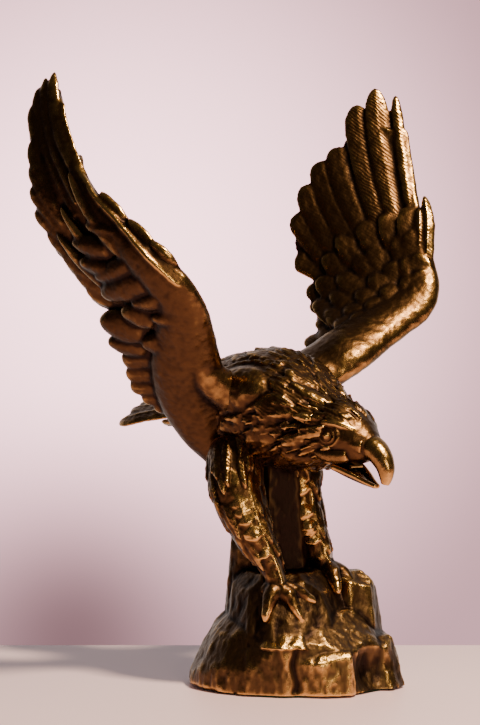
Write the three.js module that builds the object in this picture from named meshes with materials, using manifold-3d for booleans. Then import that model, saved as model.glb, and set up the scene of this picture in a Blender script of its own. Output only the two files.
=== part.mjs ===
// Bronze eagle statuette: bird castings on a hollow rock casting, with the pins, studs and plate that hold
// them. Millimetres, +Z up, +X right, -Y towards the viewer, origin on the felt's underside at the middle.
import * as THREE from 'three';
import { mergeVertices } from 'three/addons/utils/BufferGeometryUtils.js';
import Module from 'manifold-3d';

const wasm = await Module();
wasm.setup();

// ---- driving dimensions ----
const HEADING = Math.PI / 4;          // the bird faces between the viewer and the right
const BIRD = { x: -15, y: 3 };        // plan place of the bird's own origin
const SEAM = 0.3;                     // gap all round a limb in its socket
const HOLE = 0.15;                    // radial room round a pin, stud or screw
const FELT = { thick: 1.2, inset: 1.5 };
const PLATE = { thick: 1.6, inset: 7, gap: 0.4 };
const BASE = { rx: 56, ry: 51.5, top: 40, ceiling: 30, wall: 7.5, corners: 11 };
const PILLAR = { x: -13.6, y: 1.6, top: 123, spigot: 10.5 };
const STUD = { body: 3, foot: 2, screw: 1.6, pin: 2 };
const ANKLE = 10;                      // height of the toes' arch above the foot's sole
const TORSO_WALL = 15;                // thick wall round the core left by casting
const BACK_INSIDE = 170;              // height the body stud's blind hole reaches up to
const SCREW = { insetX: 15, insetY: 14.6 };        // plate screws, in from the base's outline
const BOSS = { insetX: 12.54, insetY: 12.386, top: 16, radius: 6.5 };   // where the screws' bosses meet the wall

// Torso stations along the bird: forward place, middle height, half width, half height.
const TORSO = [
  [-45, 150, 12, 10],
  [-36, 151, 19, 16],
  [-22, 152, 26, 24],
  [-4, 151, 30.5, 29],
  [16, 149, 31, 30.5],
  [32, 146, 27.5, 28],
  [44, 142, 23, 23.5],
  [54, 138.5, 19.5, 20],
];
const NECK_SEAM = 54;
const HEAD = [
  [54.3, 138.5, 19.2, 19.7],
  [61, 136.5, 18, 19],
  [68, 135.3, 16.6, 17.6],
  [74, 134.2, 13.8, 14.8],
  [79, 132.8, 9.4, 10.2],
  [82, 131.5, 5.6, 6],
];

// Wing leading edges, shoulder to tip: forward, sideways, height and arm radius.
const LEFT_ARM = [
  [8, 19, 162, 9.5], [12, 32, 169, 9], [19, 51, 180, 8.5], [26, 73, 190, 8], [33, 92, 201, 8],
  [34, 99, 212, 7.5], [29, 102, 230, 6], [19, 106, 252, 4.8], [10, 109, 273, 4], [2, 114, 297, 3.2],
  [-5, 118, 318, 2.2],
];
const RIGHT_ARM = [
  [8, -19, 162, 9.5], [10, -31, 170, 9], [12, -42, 183, 8.5], [17, -55, 197, 8], [23, -72, 212, 8],
  [21, -84, 223, 7.5], [11, -91, 233, 6.2], [-4, -97, 248, 5.2], [-19, -101, 263, 4.4], [-34, -101, 279, 3.6],
  [-47, -98, 297, 2.9], [-58, -94, 314, 2.2],
];

// Flight feathers, outermost first: where each starts along the arm (0 to 1) and where its tip is.
const LEFT_FEATHERS = [
  [0.93, -11, 119, 331], [0.86, -17, 109, 336], [0.79, -25, 102, 326], [0.72, -33, 94, 301],
  [0.66, -39, 85, 292], [0.60, -43, 80, 279], [0.55, -45, 74, 263], [0.50, -45, 70, 247],
  [0.44, -42, 68, 233], [0.38, -33, 67, 218], [0.31, -27, 65, 204], [0.24, -21, 58, 190],
  [0.17, -20, 46, 178],
];
const RIGHT_FEATHERS = [
  [0.94, -67, -92, 330], [0.88, -72, -96, 320], [0.82, -72, -101, 303], [0.76, -72, -103, 287],
  [0.70, -72, -104, 270], [0.64, -70, -102, 253], [0.58, -62, -95, 238], [0.52, -54, -87, 222],
  [0.46, -50, -79, 207], [0.39, -48, -73, 192], [0.31, -46, -64, 177], [0.24, -45, -57, 164],
  [0.17, -43, -46, 154],
];
const FEATHER = { width: 15, thick: 3.4 };

// Legs from hip to ankle: forward, sideways, height, half width and half depth.
const RIGHT_LEG = [
  [2, -16, 128, 12, 13], [4, -20, 117, 14.5, 15], [9, -21, 102, 13.5, 14], [15, -21, 88, 11, 11.5],
  [21, -20.5, 75, 8, 8], [25, -20, 66, 5.8, 5.8], [27, -20, 59, 5.4, 5.4], [27, -20, 50, 7.5, 7.5],
];
const LEFT_LEG = [
  [2, 16, 128, 12, 13], [6, 20, 117, 14.5, 15], [11, 21, 102, 13.5, 14], [16, 22, 90, 11, 11.5],
  [22, 22.5, 79, 8, 8], [25, 22, 71, 5.8, 5.8], [26, 22, 65, 5.4, 5.4], [26, 22, 57, 7.5, 7.5],
];
const RIGHT_TOES = [[33, -35, 40], [46, -22, 40], [46, -9, 45], [13, -22, 50]];
const LEFT_TOES = [[42, 15, 49], [44, 31, 45], [31, 40, 50], [13, 27, 57]];

// ---- small geometry helpers ----
const FORWARD = new THREE.Vector3(Math.cos(HEADING), -Math.sin(HEADING), 0);
const LEFT = new THREE.Vector3(Math.sin(HEADING), Math.cos(HEADING), 0);
const UP = new THREE.Vector3(0, 0, 1);

function bird(f, l, z) {
  return new THREE.Vector3(BIRD.x, BIRD.y, z).addScaledVector(FORWARD, f).addScaledVector(LEFT, l);
}

function solid(geometry) {
  const g = geometry.clone();
  g.deleteAttribute('normal');
  g.deleteAttribute('uv');
  const merged = mergeVertices(g, 1e-5);
  const mesh = new wasm.Mesh({
    numProp: 3,
    vertProperties: new Float32Array(merged.attributes.position.array),
    triVerts: new Uint32Array(merged.index.array),
  });
  return new wasm.Manifold(mesh);
}

function biggest(body) {
  const pieces = body.decompose();
  pieces.sort((a, b) => b.volume() - a.volume());
  return pieces[0];
}

function meshOf(body, name, finish) {
  const out = biggest(body).getMesh();
  const geometry = new THREE.BufferGeometry();
  geometry.setAttribute('position', new THREE.BufferAttribute(new Float32Array(out.vertProperties), 3));
  geometry.setIndex(new THREE.BufferAttribute(new Uint32Array(out.triVerts), 1));
  geometry.computeVertexNormals();
  return named(geometry, name, finish);
}

function named(geometry, name, finish) {
  const material = new THREE.MeshStandardMaterial(finish);
  material.flatShading = true;
  const mesh = new THREE.Mesh(geometry, material);
  mesh.name = name;
  return mesh;
}

// A ring of points on an ellipse with half sizes a and b along two directions.
function ring(centre, sideways, upwards, a, b, count = 20, lobes = 0, depth = 0) {
  const points = [];
  for (let i = 0; i < count; i += 1) {
    const t = (2 * Math.PI * i) / count;
    const k = 1 + depth * Math.cos(lobes * t);
    const p = centre.clone();
    p.addScaledVector(sideways, a * k * Math.cos(t));
    p.addScaledVector(upwards, b * k * Math.sin(t));
    points.push(p);
  }
  return points;
}

// A closed skin over rings of equal count, with a fan of faces at each end. The ends move out by `ends`.
function loft(sections, ends = 0) {
  const rings = sections.map((points) => points.slice());
  const final = rings.length - 1;
  rings[0] = movedFrom(rings[0], rings[1], ends);
  rings[final] = movedFrom(rings[final], rings[final - 1], ends);
  const count = rings[0].length;
  const points = rings.flat();
  const faces = [];
  for (let i = 0; i + 1 < rings.length; i += 1) {
    for (let j = 0; j < count; j += 1) {
      const a = i * count + j;
      const b = i * count + ((j + 1) % count);
      faces.push(a, b, b + count, a, b + count, a + count);
    }
  }
  const last = (rings.length - 1) * count;
  const start = points.push(middleOf(rings[0])) - 1;
  const end = points.push(middleOf(rings[rings.length - 1])) - 1;
  for (let j = 0; j < count; j += 1) {
    const k = (j + 1) % count;
    faces.push(start, k, j, end, last + j, last + k);
  }
  const geometry = new THREE.BufferGeometry().setFromPoints(points);
  geometry.setIndex(faces);
  const body = solid(geometry);
  return body.volume() > 0 ? body : solid(flipped(geometry));
}

function movedFrom(points, neighbour, distance) {
  const away = middleOf(points).sub(middleOf(neighbour)).normalize();
  return points.map((p) => p.clone().addScaledVector(away, distance));
}

function middleOf(points) {
  const sum = new THREE.Vector3();
  points.forEach((p) => sum.add(p));
  return sum.divideScalar(points.length);
}

// A round bar between two points, from a lathed profile that starts and ends on its axis.
function bar(from, to, radius, segments = 20) {
  const length = from.distanceTo(to);
  return lathe([[0, 0], [radius, 0], [radius, length], [0, length]], from, to, segments);
}

function lathe(profile, from, to, segments = 20) {
  const points = profile.map(([r, y]) => new THREE.Vector2(r, y));
  const geometry = new THREE.LatheGeometry(points, segments);
  const turn = new THREE.Quaternion().setFromUnitVectors(
    new THREE.Vector3(0, 1, 0),
    to.clone().sub(from).normalize(),
  );
  geometry.applyQuaternion(turn);
  geometry.translate(from.x, from.y, from.z);
  const body = solid(geometry);
  return body.volume() > 0 ? body : solid(flipped(geometry));
}

function flipped(geometry) {
  const g = geometry.clone();
  const index = g.index.array;
  for (let i = 0; i < index.length; i += 3) {
    const kept = index[i];
    index[i] = index[i + 1];
    index[i + 1] = kept;
  }
  return g;
}

// ---- the bird's trunk and head ----
function trunkRing([f, z, w, h], grow, count = 28) {
  const lobes = 14;
  const depth = grow < 0 ? 0 : 0.012;
  return ring(bird(f, 0, z), LEFT, UP, w + grow, h + grow, count, lobes, depth);
}

function torsoSolid() {
  return loft(TORSO.map((station) => trunkRing(station, 0)));
}

function torsoHollow() {
  const inner = TORSO.slice(1, -1);
  return loft(inner.map((station) => trunkRing(station, -TORSO_WALL)));
}

function headSolid(grow) {
  return loft(HEAD.map((station) => trunkRing(station, grow)), grow);
}

// The upper beak is a hooked loft: forward place, height, half width and half depth at each station.
function upperBeak() {
  const path = [
    [76, 129.5, 7.4, 6.6],
    [81, 129.2, 6.6, 6.6],
    [85.5, 126.6, 5.2, 5.8],
    [88.6, 121.8, 3.8, 4.4],
    [88.9, 116.6, 2.3, 2.6],
    [86.8, 112.6, 0.9, 1.0],
  ];
  return hooked(path, -3);
}

function lowerBeakSolid(grow) {
  const path = [
    [66, 120, 6.6 + grow, 2.4 + grow],
    [72, 117.6, 5.6 + grow, 2.1 + grow],
    [77, 114.8, 4.1 + grow, 1.7 + grow],
    [80.8, 112, 2.0 + grow, 0.9 + grow],
  ];
  return hooked(path, -3, grow);
}

// Rings square to a path that bends in the bird's own upright plane.
function hooked(path, sideways, ends = 0) {
  const middle = path.map(([f, z]) => bird(f, sideways, z));
  const rings = path.map(([, , w, h], i) => {
    const before = middle[Math.max(0, i - 1)];
    const after = middle[Math.min(path.length - 1, i + 1)];
    const along = after.clone().sub(before).normalize();
    const across = new THREE.Vector3().crossVectors(along, LEFT).normalize();
    return ring(middle[i], LEFT, across, w, h, 16);
  });
  return loft(rings, ends);
}

function eyeLump(side) {
  const at = bird(66, -2 + side * 15.2, 138);
  const out = bird(66, -2 + side * 18.6, 138);
  return lathe([[0, 0], [3.4, 0], [3.1, 2.1], [1.9, 3.2], [0, 3.4]], at, out, 16);
}

// The open mouth between the two halves of the beak.
function mouthGap() {
  const path = [
    [68, 122.6, 9, 1.2],
    [76, 120.6, 9, 2.6],
    [86, 116.5, 9, 4.2],
  ];
  return hooked(path, -3);
}

// ---- wings ----
function pathPoint(stations, t) {
  const points = stations.map(([f, l, z]) => bird(f, l, z));
  return new THREE.CatmullRomCurve3(points, false, 'centripetal').getPoint(t);
}

function armSolid(stations, grow) {
  const points = stations.map(([f, l, z]) => bird(f, l, z));
  const rings = stations.map(([, , , radius], i) => {
    const before = points[Math.max(0, i - 1)];
    const after = points[Math.min(points.length - 1, i + 1)];
    const along = after.clone().sub(before).normalize();
    const across = new THREE.Vector3().crossVectors(along, FORWARD).normalize();
    const back = new THREE.Vector3().crossVectors(across, along).normalize();
    return ring(points[i], back, across, radius * 1.15 + grow, radius * 0.85 + grow, 16);
  });
  return loft(rings, grow);
}

// One flight feather: a flat leaf with a raised middle, broad near its tip and rounded at the end.
function featherSolid(root, tip, spanwise, order, grow) {
  const along = tip.clone().sub(root);
  const length = along.length();
  along.normalize();
  const face = new THREE.Vector3().crossVectors(spanwise, along).normalize();
  const wide = new THREE.Vector3().crossVectors(along, face).normalize();
  const profile = [[0, 0.7, 1.1], [0.35, 0.9, 1], [0.7, 1, 0.85], [0.88, 0.82, 0.7], [0.96, 0.5, 0.55], [1, 0.16, 0.3]];
  const rings = profile.map(([t, w, h]) => {
    const lift = (order % 2) * 0.5 + 2.2 * Math.sin(Math.PI * t);
    const centre = root.clone().addScaledVector(along, length * t).addScaledVector(face, lift);
    return ring(centre, wide, face, 0.5 * FEATHER.width * w + grow, 0.5 * FEATHER.thick * h + grow, 8);
  });
  return loft(rings, grow);
}

// The thick web that the feathers are cast on, from the arm to most of the way along them.
function webSolid(arm, feathers, grow) {
  const rings = feathers.map(([t, f, l, z]) => {
    const root = pathPoint(arm, t);
    const tip = bird(f, l, z);
    const end = root.clone().lerp(tip, 0.72);
    const along = end.clone().sub(root).normalize();
    const ahead = pathPoint(arm, Math.min(1, t + 0.05)).sub(pathPoint(arm, t - 0.05)).normalize();
    const face = new THREE.Vector3().crossVectors(ahead, along).normalize();
    const middle = root.clone().lerp(end, 0.5).addScaledVector(face, 1.4);
    return ring(middle, along, face, 0.5 * root.distanceTo(end) + grow, 2.6 + grow, 14);
  });
  return loft(rings, grow);
}

function wingSolid(arm, feathers, grow) {
  let body = armSolid(arm, grow).add(webSolid(arm, feathers, grow));
  feathers.forEach(([t, f, l, z], order) => {
    const root = pathPoint(arm, t);
    const spanwise = pathPoint(arm, Math.min(1, t + 0.06)).sub(pathPoint(arm, t - 0.06)).normalize();
    body = body.add(featherSolid(root, bird(f, l, z), spanwise, order, grow));
  });
  return body;
}

// ---- tail ----
function tailSolid(grow) {
  const root = bird(-38, 0, 148);
  let body = ringLoft([[-36, 148.5, 9, 7], [-50, 147, 12, 6], [-66, 144.5, 15, 4]], grow);
  for (let i = -3; i <= 3; i += 1) {
    const reach = -98 + Math.abs(i) * 1.6;
    const tip = bird(reach, i * 6.6, 139 - 0.5 * Math.abs(i));
    body = body.add(featherSolid(root, tip, LEFT, Math.abs(i), grow));
  }
  return body;
}

function ringLoft(stations, grow) {
  return loft(stations.map(([f, z, w, h]) => ring(bird(f, 0, z), LEFT, UP, w + grow, h + grow, 18)), grow);
}

// ---- legs ----
function legSolid(stations, toes, grow) {
  const rings = stations.map(([f, l, z, w, d], i) => {
    const tilt = i === stations.length - 1 ? 0 : 0.35;
    const depthwise = FORWARD.clone().addScaledVector(UP, tilt).normalize();
    return ring(bird(f, l, z), LEFT, depthwise, w + grow, d + grow, 18, 9, 0.015);
  });
  let body = loft(rings, grow);
  const [f, l, z] = stations[stations.length - 1];
  const ankle = bird(f, l, z + ANKLE);
  toes.forEach(([tf, tl, tz]) => {
    body = body.add(toeSolid(ankle, bird(tf, tl, tz), grow));
  });
  return body;
}

// A toe that arches out from the ankle and ends in a hooked talon.
function toeSolid(ankle, tip, grow) {
  const out = tip.clone().sub(ankle);
  const stations = [[0, 0, 4.6], [0.35, 2.5, 4.1], [0.62, 3.5, 3.8], [0.82, 3.2, 2.8], [0.95, 1.6, 1.7], [1, 0, 0.7]];
  const points = stations.map(([t, lift]) => {
    const drop = out.z * t * t;
    return new THREE.Vector3(ankle.x + out.x * Math.sqrt(t), ankle.y + out.y * Math.sqrt(t), ankle.z + drop + lift);
  });
  const rings = stations.map(([, , radius], i) => {
    const before = points[Math.max(0, i - 1)];
    const after = points[Math.min(points.length - 1, i + 1)];
    const along = after.clone().sub(before).normalize();
    const side = new THREE.Vector3().crossVectors(UP, along).normalize();
    const across = new THREE.Vector3().crossVectors(along, side).normalize();
    return ring(points[i], side, across, radius + grow, radius + grow, 10);
  });
  return loft(rings, grow);
}

// ---- rock ----
// Radius factor of a broken, many-cornered outline: 1 at the corners and less between them.
function facet(angle, corners, turn) {
  const step = (2 * Math.PI) / corners;
  const uneven = 0.22 * Math.sin(3 * angle + 1.3) + 0.16 * Math.sin(5 * angle);
  const local = (((angle + turn + uneven * step) % step) + step) % step;
  return Math.cos(step / 2) / Math.cos(local - step / 2);
}

function rockRing(x, y, z, rx, ry, turn, count = 44) {
  const points = [];
  for (let i = 0; i < count; i += 1) {
    const a = (2 * Math.PI * i) / count;
    const k = facet(a, BASE.corners, turn) * (1 + 0.02 * Math.sin(2 * a + 0.7));
    points.push(new THREE.Vector3(x + rx * k * Math.cos(a), y + ry * k * Math.sin(a), z));
  }
  return points;
}

function drum(levels, inset, low, high) {
  return loft(levels.map(([t, kx, ky]) => {
    const z = low + (high - low) * t;
    return rockRing(0, 0, z, BASE.rx * kx - inset, BASE.ry * ky - inset, 0.25 * t);
  }));
}

function rockDrum() {
  const levels = [
    [0, 0.975, 0.965], [0.15, 1.02, 1.015], [0.5, 1, 0.99], [0.7, 0.93, 0.92], [0.86, 0.82, 0.83], [1, 0.6, 0.62],
  ];
  return drum(levels, 0, FELT.thick, BASE.top);
}

// The hollow under the rock has a flat ceiling, so the nuts and washers bear on it.
function rockHollow() {
  const levels = [[0, 0.98, 0.97], [0.6, 0.98, 0.97], [0.85, 0.95, 0.94], [1, 0.91, 0.9]];
  return drum(levels, BASE.wall, FELT.thick - 5, BASE.ceiling);
}

function pillarSolid() {
  const levels = [
    [30, -6, 1, 38, 32], [46, -7, 1, 33, 27], [62, -8, 2, 29, 22], [78, -10, 3, 22, 17],
    [94, -12, 3, 16, 14], [108, -13.4, 2, 13.5, 13], [PILLAR.top - 9, PILLAR.x, PILLAR.y, 12.5, 12.5],
  ];
  const shaft = loft(levels.map(([z, x, y, rx, ry]) => rockRing(x, y, z, rx, ry, 0.02 * z)));
  const low = new THREE.Vector3(PILLAR.x, PILLAR.y, 100);
  const high = new THREE.Vector3(PILLAR.x, PILLAR.y, PILLAR.top);
  return shaft.add(bar(low, high, PILLAR.spigot, 32));
}

// Low ledges that the feet stand on and the knob at the right.
function ledges() {
  const lumps = [
    [-4, -27, 30, 50, 24, 17], [20, -2, 30, 59, 21, 20], [35, 8, 26, 55, 15, 17],
  ];
  return lumps.map(([x, y, low, high, rx, ry]) => loft([
    rockRing(x, y, low, rx, ry, 0.3),
    rockRing(x, y, (low + 2 * high) / 3, rx * 0.94, ry * 0.94, 0.5),
    rockRing(x, y, high, rx * 0.62, ry * 0.62, 0.7),
  ]));
}

// Each place on an oval a set way in from the base's outline, at the four screws' directions.
function oval(insetX, insetY) {
  const [rx, ry] = [BASE.rx - insetX, BASE.ry - insetY];
  return [0.6, 2.2, 3.8, 5.3].map((a) => [rx * Math.cos(a), ry * Math.sin(a)]);
}

function screwPlaces() {
  return oval(SCREW.insetX, SCREW.insetY);
}

function rockSolid() {
  const low = FELT.thick;
  let body = rockDrum().add(pillarSolid());
  ledges().forEach((lump) => { body = body.add(lump); });
  body = body.subtract(rockHollow());
  const ends = oval(BOSS.insetX, BOSS.insetY);
  screwPlaces().forEach(([x, y], i) => {
    const foot = new THREE.Vector3(x, y, low + PLATE.thick);
    const end = new THREE.Vector3(ends[i][0], ends[i][1], BOSS.top);
    body = body.add(bar(foot, end, BOSS.radius));
  });
  const recess = loft([low - 3, low + PLATE.thick].map((z) => (
    rockRing(0, 0, z, BASE.rx - PLATE.inset + PLATE.gap, BASE.ry - PLATE.inset + PLATE.gap, 0)
  )));
  return body.subtract(recess);
}

// ---- joinery ----
function nutSolid(x, y, z, bore, across, thick) {
  const from = new THREE.Vector3(x, y, z);
  const to = new THREE.Vector3(x, y, z + thick);
  const hole = bar(from.clone().setZ(z - 1), to.clone().setZ(z + thick + 1), bore);
  return bar(from, to, across / Math.sqrt(3), 6).subtract(hole);
}

function washerSolid(x, y, z, bore, outer, thick) {
  const from = new THREE.Vector3(x, y, z);
  const to = new THREE.Vector3(x, y, z + thick);
  const hole = bar(from.clone().setZ(z - 1), to.clone().setZ(z + thick + 1), bore);
  return bar(from, to, outer, 28).subtract(hole);
}

// Each dowel: name, its middle, the direction it lies in and its whole length.
function dowels() {
  const leftOut = bird(12, 32, 169).sub(bird(8, 19, 162)).normalize();
  const rightOut = bird(10, -31, 170).sub(bird(8, -19, 162)).normalize();
  return [
    ['left_wing_pin_front', bird(12, 19, 162), leftOut, 12],
    ['left_wing_pin_rear', bird(4, 19, 162), leftOut, 12],
    ['right_wing_pin_front', bird(12, -19, 162), rightOut, 12],
    ['right_wing_pin_rear', bird(4, -19, 162), rightOut, 12],
    ['tail_pin', bird(-36, 0, 148.5), FORWARD, 16],
    ['neck_pin', bird(NECK_SEAM, 0, 138.5), FORWARD, 20],
    ['right_hip_pin', bird(2, -16, 128), new THREE.Vector3(0, 0, 1), 14],
    ['left_hip_pin', bird(2, 16, 128), new THREE.Vector3(0, 0, 1), 14],
  ];
}

function along(middle, direction, from, to) {
  return [middle.clone().addScaledVector(direction, from), middle.clone().addScaledVector(direction, to)];
}

// ---- finishes ----
const BRONZE = { color: 0x7a4f22, roughness: 0.34, metalness: 1 };
const BRONZE_DARK = { color: 0x5c3a1c, roughness: 0.4, metalness: 1 };
const BEAK = { color: 0xa9772f, roughness: 0.28, metalness: 1 };
const ROCK = { color: 0x684321, roughness: 0.42, metalness: 1 };
const PIN = { color: 0xb08d4a, roughness: 0.35, metalness: 1 };
const STEEL = { color: 0xa7a9ab, roughness: 0.4, metalness: 1 };
const FELT_LOOK = { color: 0x1d3a2a, roughness: 0.95, metalness: 0 };

// ---- assembly ----
function build() {
  const group = new THREE.Group();
  const put = (body, name, finish) => group.add(meshOf(body, name, finish));

  const leftWing = wingSolid(LEFT_ARM, LEFT_FEATHERS, 0);
  const rightWing = wingSolid(RIGHT_ARM, RIGHT_FEATHERS, 0);
  const tail = tailSolid(0);
  const rightLeg = legSolid(RIGHT_LEG, RIGHT_TOES, 0);
  const leftLeg = legSolid(LEFT_LEG, LEFT_TOES, 0);

  // The trunk gives way to every limb by the seam gap, and is open below where the pillar's spigot enters.
  let torso = torsoSolid().subtract(torsoHollow());
  torso = torso.subtract(wingSolid(LEFT_ARM, LEFT_FEATHERS, SEAM));
  torso = torso.subtract(wingSolid(RIGHT_ARM, RIGHT_FEATHERS, SEAM));
  torso = torso.subtract(tailSolid(SEAM));
  torso = torso.subtract(legSolid(RIGHT_LEG, RIGHT_TOES, SEAM));
  torso = torso.subtract(legSolid(LEFT_LEG, LEFT_TOES, SEAM));
  const below = new THREE.Vector3(PILLAR.x, PILLAR.y, 100);
  torso = torso.subtract(bar(below, new THREE.Vector3(PILLAR.x, PILLAR.y, 140), PILLAR.spigot + SEAM, 32));

  // The rock gives way to the legs by the same gap.
  let rock = rockSolid();
  rock = rock.subtract(legSolid(RIGHT_LEG, RIGHT_TOES, SEAM)).subtract(legSolid(LEFT_LEG, LEFT_TOES, SEAM));
  const above = new THREE.Vector3(PILLAR.x, PILLAR.y, 140);
  rock = rock.subtract(torsoSolid().subtract(bar(below, above, PILLAR.spigot + 0.1, 32)));

  let head = headSolid(0).add(upperBeak()).add(eyeLump(1)).add(eyeLump(-1));
  head = head.subtract(mouthGap()).subtract(lowerBeakSolid(SEAM));
  let lowerBeak = lowerBeakSolid(0);

  const limbs = { left_wing: leftWing, right_wing: rightWing, tail, right_leg: rightLeg, left_leg: leftLeg };

  dowels().forEach(([name, middle, direction, length]) => {
    const [a, b] = along(middle, direction, -length / 2, length / 2);
    const [c, d] = along(middle, direction, -length / 2 - 0.5, length / 2 + 0.5);
    const hole = bar(c, d, STUD.pin + HOLE, 16);
    torso = torso.subtract(hole);
    head = head.subtract(hole);
    Object.keys(limbs).forEach((key) => { limbs[key] = limbs[key].subtract(hole); });
    put(bar(a, b, STUD.pin, 16), name, PIN);
  });

  // The jaw is held by a short cross pin hidden inside the cheek.
  const jawFrom = bird(67.5, -7.5, 120);
  const jawTo = bird(67.5, 1.5, 120);
  const jawHole = bar(bird(67.5, -8, 120), bird(67.5, 2, 120), 0.9 + HOLE, 12);
  head = head.subtract(jawHole);
  lowerBeak = lowerBeak.subtract(jawHole);
  put(bar(jawFrom, jawTo, 0.9, 12), 'jaw_pin', PIN);

  // One long stud ties the back of the bird to the base, through the pillar.
  const ceiling = BASE.ceiling;
  const pillarAt = (z) => new THREE.Vector3(PILLAR.x, PILLAR.y, z);
  const studHole = bar(pillarAt(ceiling - 12), pillarAt(BACK_INSIDE + 5), STUD.body + HOLE, 24);
  rock = rock.subtract(studHole);
  torso = torso.subtract(studHole);
  put(bar(pillarAt(ceiling - 9), pillarAt(BACK_INSIDE + 4), STUD.body, 24), 'body_stud', STEEL);
  put(washerSolid(PILLAR.x, PILLAR.y, ceiling - 1.3, STUD.body + HOLE, 7.5, 1.2), 'body_washer', STEEL);
  put(nutSolid(PILLAR.x, PILLAR.y, ceiling - 6.4, STUD.body + HOLE, 10, 5), 'body_nut', STEEL);

  // A stud up into each foot, with its washer and nut under the rock's top.
  [['right', RIGHT_LEG, 'right_leg'], ['left', LEFT_LEG, 'left_leg']].forEach(([side, stations, key]) => {
    const [f, l, z] = stations[stations.length - 1];
    const top = bird(f, l, z + 14);
    const low = top.clone().setZ(ceiling - 7);
    const hole = bar(low.clone().setZ(ceiling - 12), top.clone().setZ(top.z + 0.5), STUD.foot + HOLE, 16);
    rock = rock.subtract(hole);
    limbs[key] = limbs[key].subtract(hole);
    put(bar(low, top, STUD.foot, 16), `${side}_foot_stud`, STEEL);
    put(washerSolid(top.x, top.y, ceiling - 1.1, STUD.foot + HOLE, 5, 1), `${side}_foot_washer`, STEEL);
    put(nutSolid(top.x, top.y, ceiling - 4.6, STUD.foot + HOLE, 7, 3.4), `${side}_foot_nut`, STEEL);
  });

  // The steel plate closes the hollow rock, held by four countersunk screws.
  const plateLow = FELT.thick;
  const plateHigh = plateLow + PLATE.thick;
  let plate = loft([plateLow, plateHigh].map((z) => (
    rockRing(0, 0, z, BASE.rx - PLATE.inset, BASE.ry - PLATE.inset, 0)
  )));
  screwPlaces().forEach(([x, y], i) => {
    const from = new THREE.Vector3(x, y, plateLow);
    const to = new THREE.Vector3(x, y, plateLow + 9);
    const head3 = [[0, 0], [3, 0], [STUD.screw, 1.4], [STUD.screw, 9], [0, 9]];
    const bore = STUD.screw + HOLE;
    const room = [[0, -0.5], [3.3, -0.5], [3.2, 0], [bore, 1.6], [bore, 9.6], [0, 9.6]];
    const hole = lathe(room, from, to, 20);
    plate = plate.subtract(hole);
    rock = rock.subtract(hole);
    put(lathe(head3, from, to, 20), `plate_screw_${i + 1}`, STEEL);
  });
  put(plate, 'bottom_plate', STEEL);

  put(rock, 'rock_base', ROCK);
  put(torso, 'torso', BRONZE);
  put(head, 'head', BRONZE);
  put(lowerBeak, 'lower_beak', BEAK);
  put(limbs.left_wing, 'left_wing', BRONZE);
  put(limbs.right_wing, 'right_wing', BRONZE_DARK);
  put(limbs.tail, 'tail', BRONZE_DARK);
  put(limbs.right_leg, 'right_leg', BRONZE);
  put(limbs.left_leg, 'left_leg', BRONZE);

  const felt = loft([0, FELT.thick].map((z) => (
    rockRing(0, 0, z, BASE.rx * 0.975 - FELT.inset, BASE.ry * 0.965 - FELT.inset, 0)
  )));
  put(felt, 'felt_pad', FELT_LOOK);
  return group;
}

export default build();
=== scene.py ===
"""Looks of a cast bronze eagle statuette: feathered castings on a broken rock, rubbed bright on the ridges.

Every casting is modelled as closed shells (tubes, leaves and rocks) that are fused into one skin, softened as
a casting is, roughened, and measured for ridges and hollows, which drive the patina. Lengths inside are
millimetres; the frame is the part's own, with Z up and the viewer at -Y.
"""

import logging  # noqa: E402
import math  # noqa: E402
from collections.abc import Callable  # noqa: E402
from dataclasses import dataclass  # noqa: E402
from enum import Enum  # noqa: E402

import bpy  # noqa: E402
import numpy as np  # noqa: E402
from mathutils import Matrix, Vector  # noqa: E402


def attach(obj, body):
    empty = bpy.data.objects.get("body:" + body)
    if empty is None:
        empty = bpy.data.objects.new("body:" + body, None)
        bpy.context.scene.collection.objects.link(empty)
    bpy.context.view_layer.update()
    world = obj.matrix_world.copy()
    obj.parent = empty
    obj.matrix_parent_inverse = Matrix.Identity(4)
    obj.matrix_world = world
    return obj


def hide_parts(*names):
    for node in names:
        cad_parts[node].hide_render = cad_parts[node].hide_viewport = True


logging.basicConfig(level=logging.INFO, format="%(message)s")
LOG = logging.getLogger("statuette")
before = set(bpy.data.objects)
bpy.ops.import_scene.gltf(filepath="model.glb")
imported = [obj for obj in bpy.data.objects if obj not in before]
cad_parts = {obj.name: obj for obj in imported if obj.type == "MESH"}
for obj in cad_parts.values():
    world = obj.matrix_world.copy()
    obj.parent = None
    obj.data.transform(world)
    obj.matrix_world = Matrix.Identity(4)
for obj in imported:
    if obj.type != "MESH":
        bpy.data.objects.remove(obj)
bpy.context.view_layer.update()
MM = 0.001
Array = np.ndarray
UP = np.array([0.0, 0.0, 1.0])


# ---------------------------------------------------------------- small vector tools
def unit(v: Array) -> Array:
    """Each vector divided by its length."""
    return v / np.maximum(np.linalg.norm(v, axis=-1, keepdims=True), 1e-9)


def smooth(x: Array) -> Array:
    """The soft step 3x^2 - 2x^3 of x held between 0 and 1."""
    x = np.clip(x, 0.0, 1.0)
    return x * x * (3.0 - 2.0 * x)


def catmull(points: Array, t: Array) -> Array:
    """A smooth curve through rows of numbers.

    Args:
        points: rows to pass through, evenly spaced in the parameter.
        t: parameters from 0 (first row) to 1 (last row), of any shape.

    Returns:
        One interpolated row for each parameter.
    """
    pts = np.asarray(points, float)
    last = len(pts) - 1
    x = np.clip(np.asarray(t, float), 0.0, 1.0) * last
    i = np.clip(np.floor(x).astype(int), 0, last - 1)
    f = (x - i)[..., None]
    a, b = pts[np.maximum(i - 1, 0)], pts[i]
    c, d = pts[i + 1], pts[np.minimum(i + 2, last)]
    return b + 0.5 * f * (c - a + f * (2 * a - 5 * b + 4 * c - d + f * (3 * (b - c) + d - a)))


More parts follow.
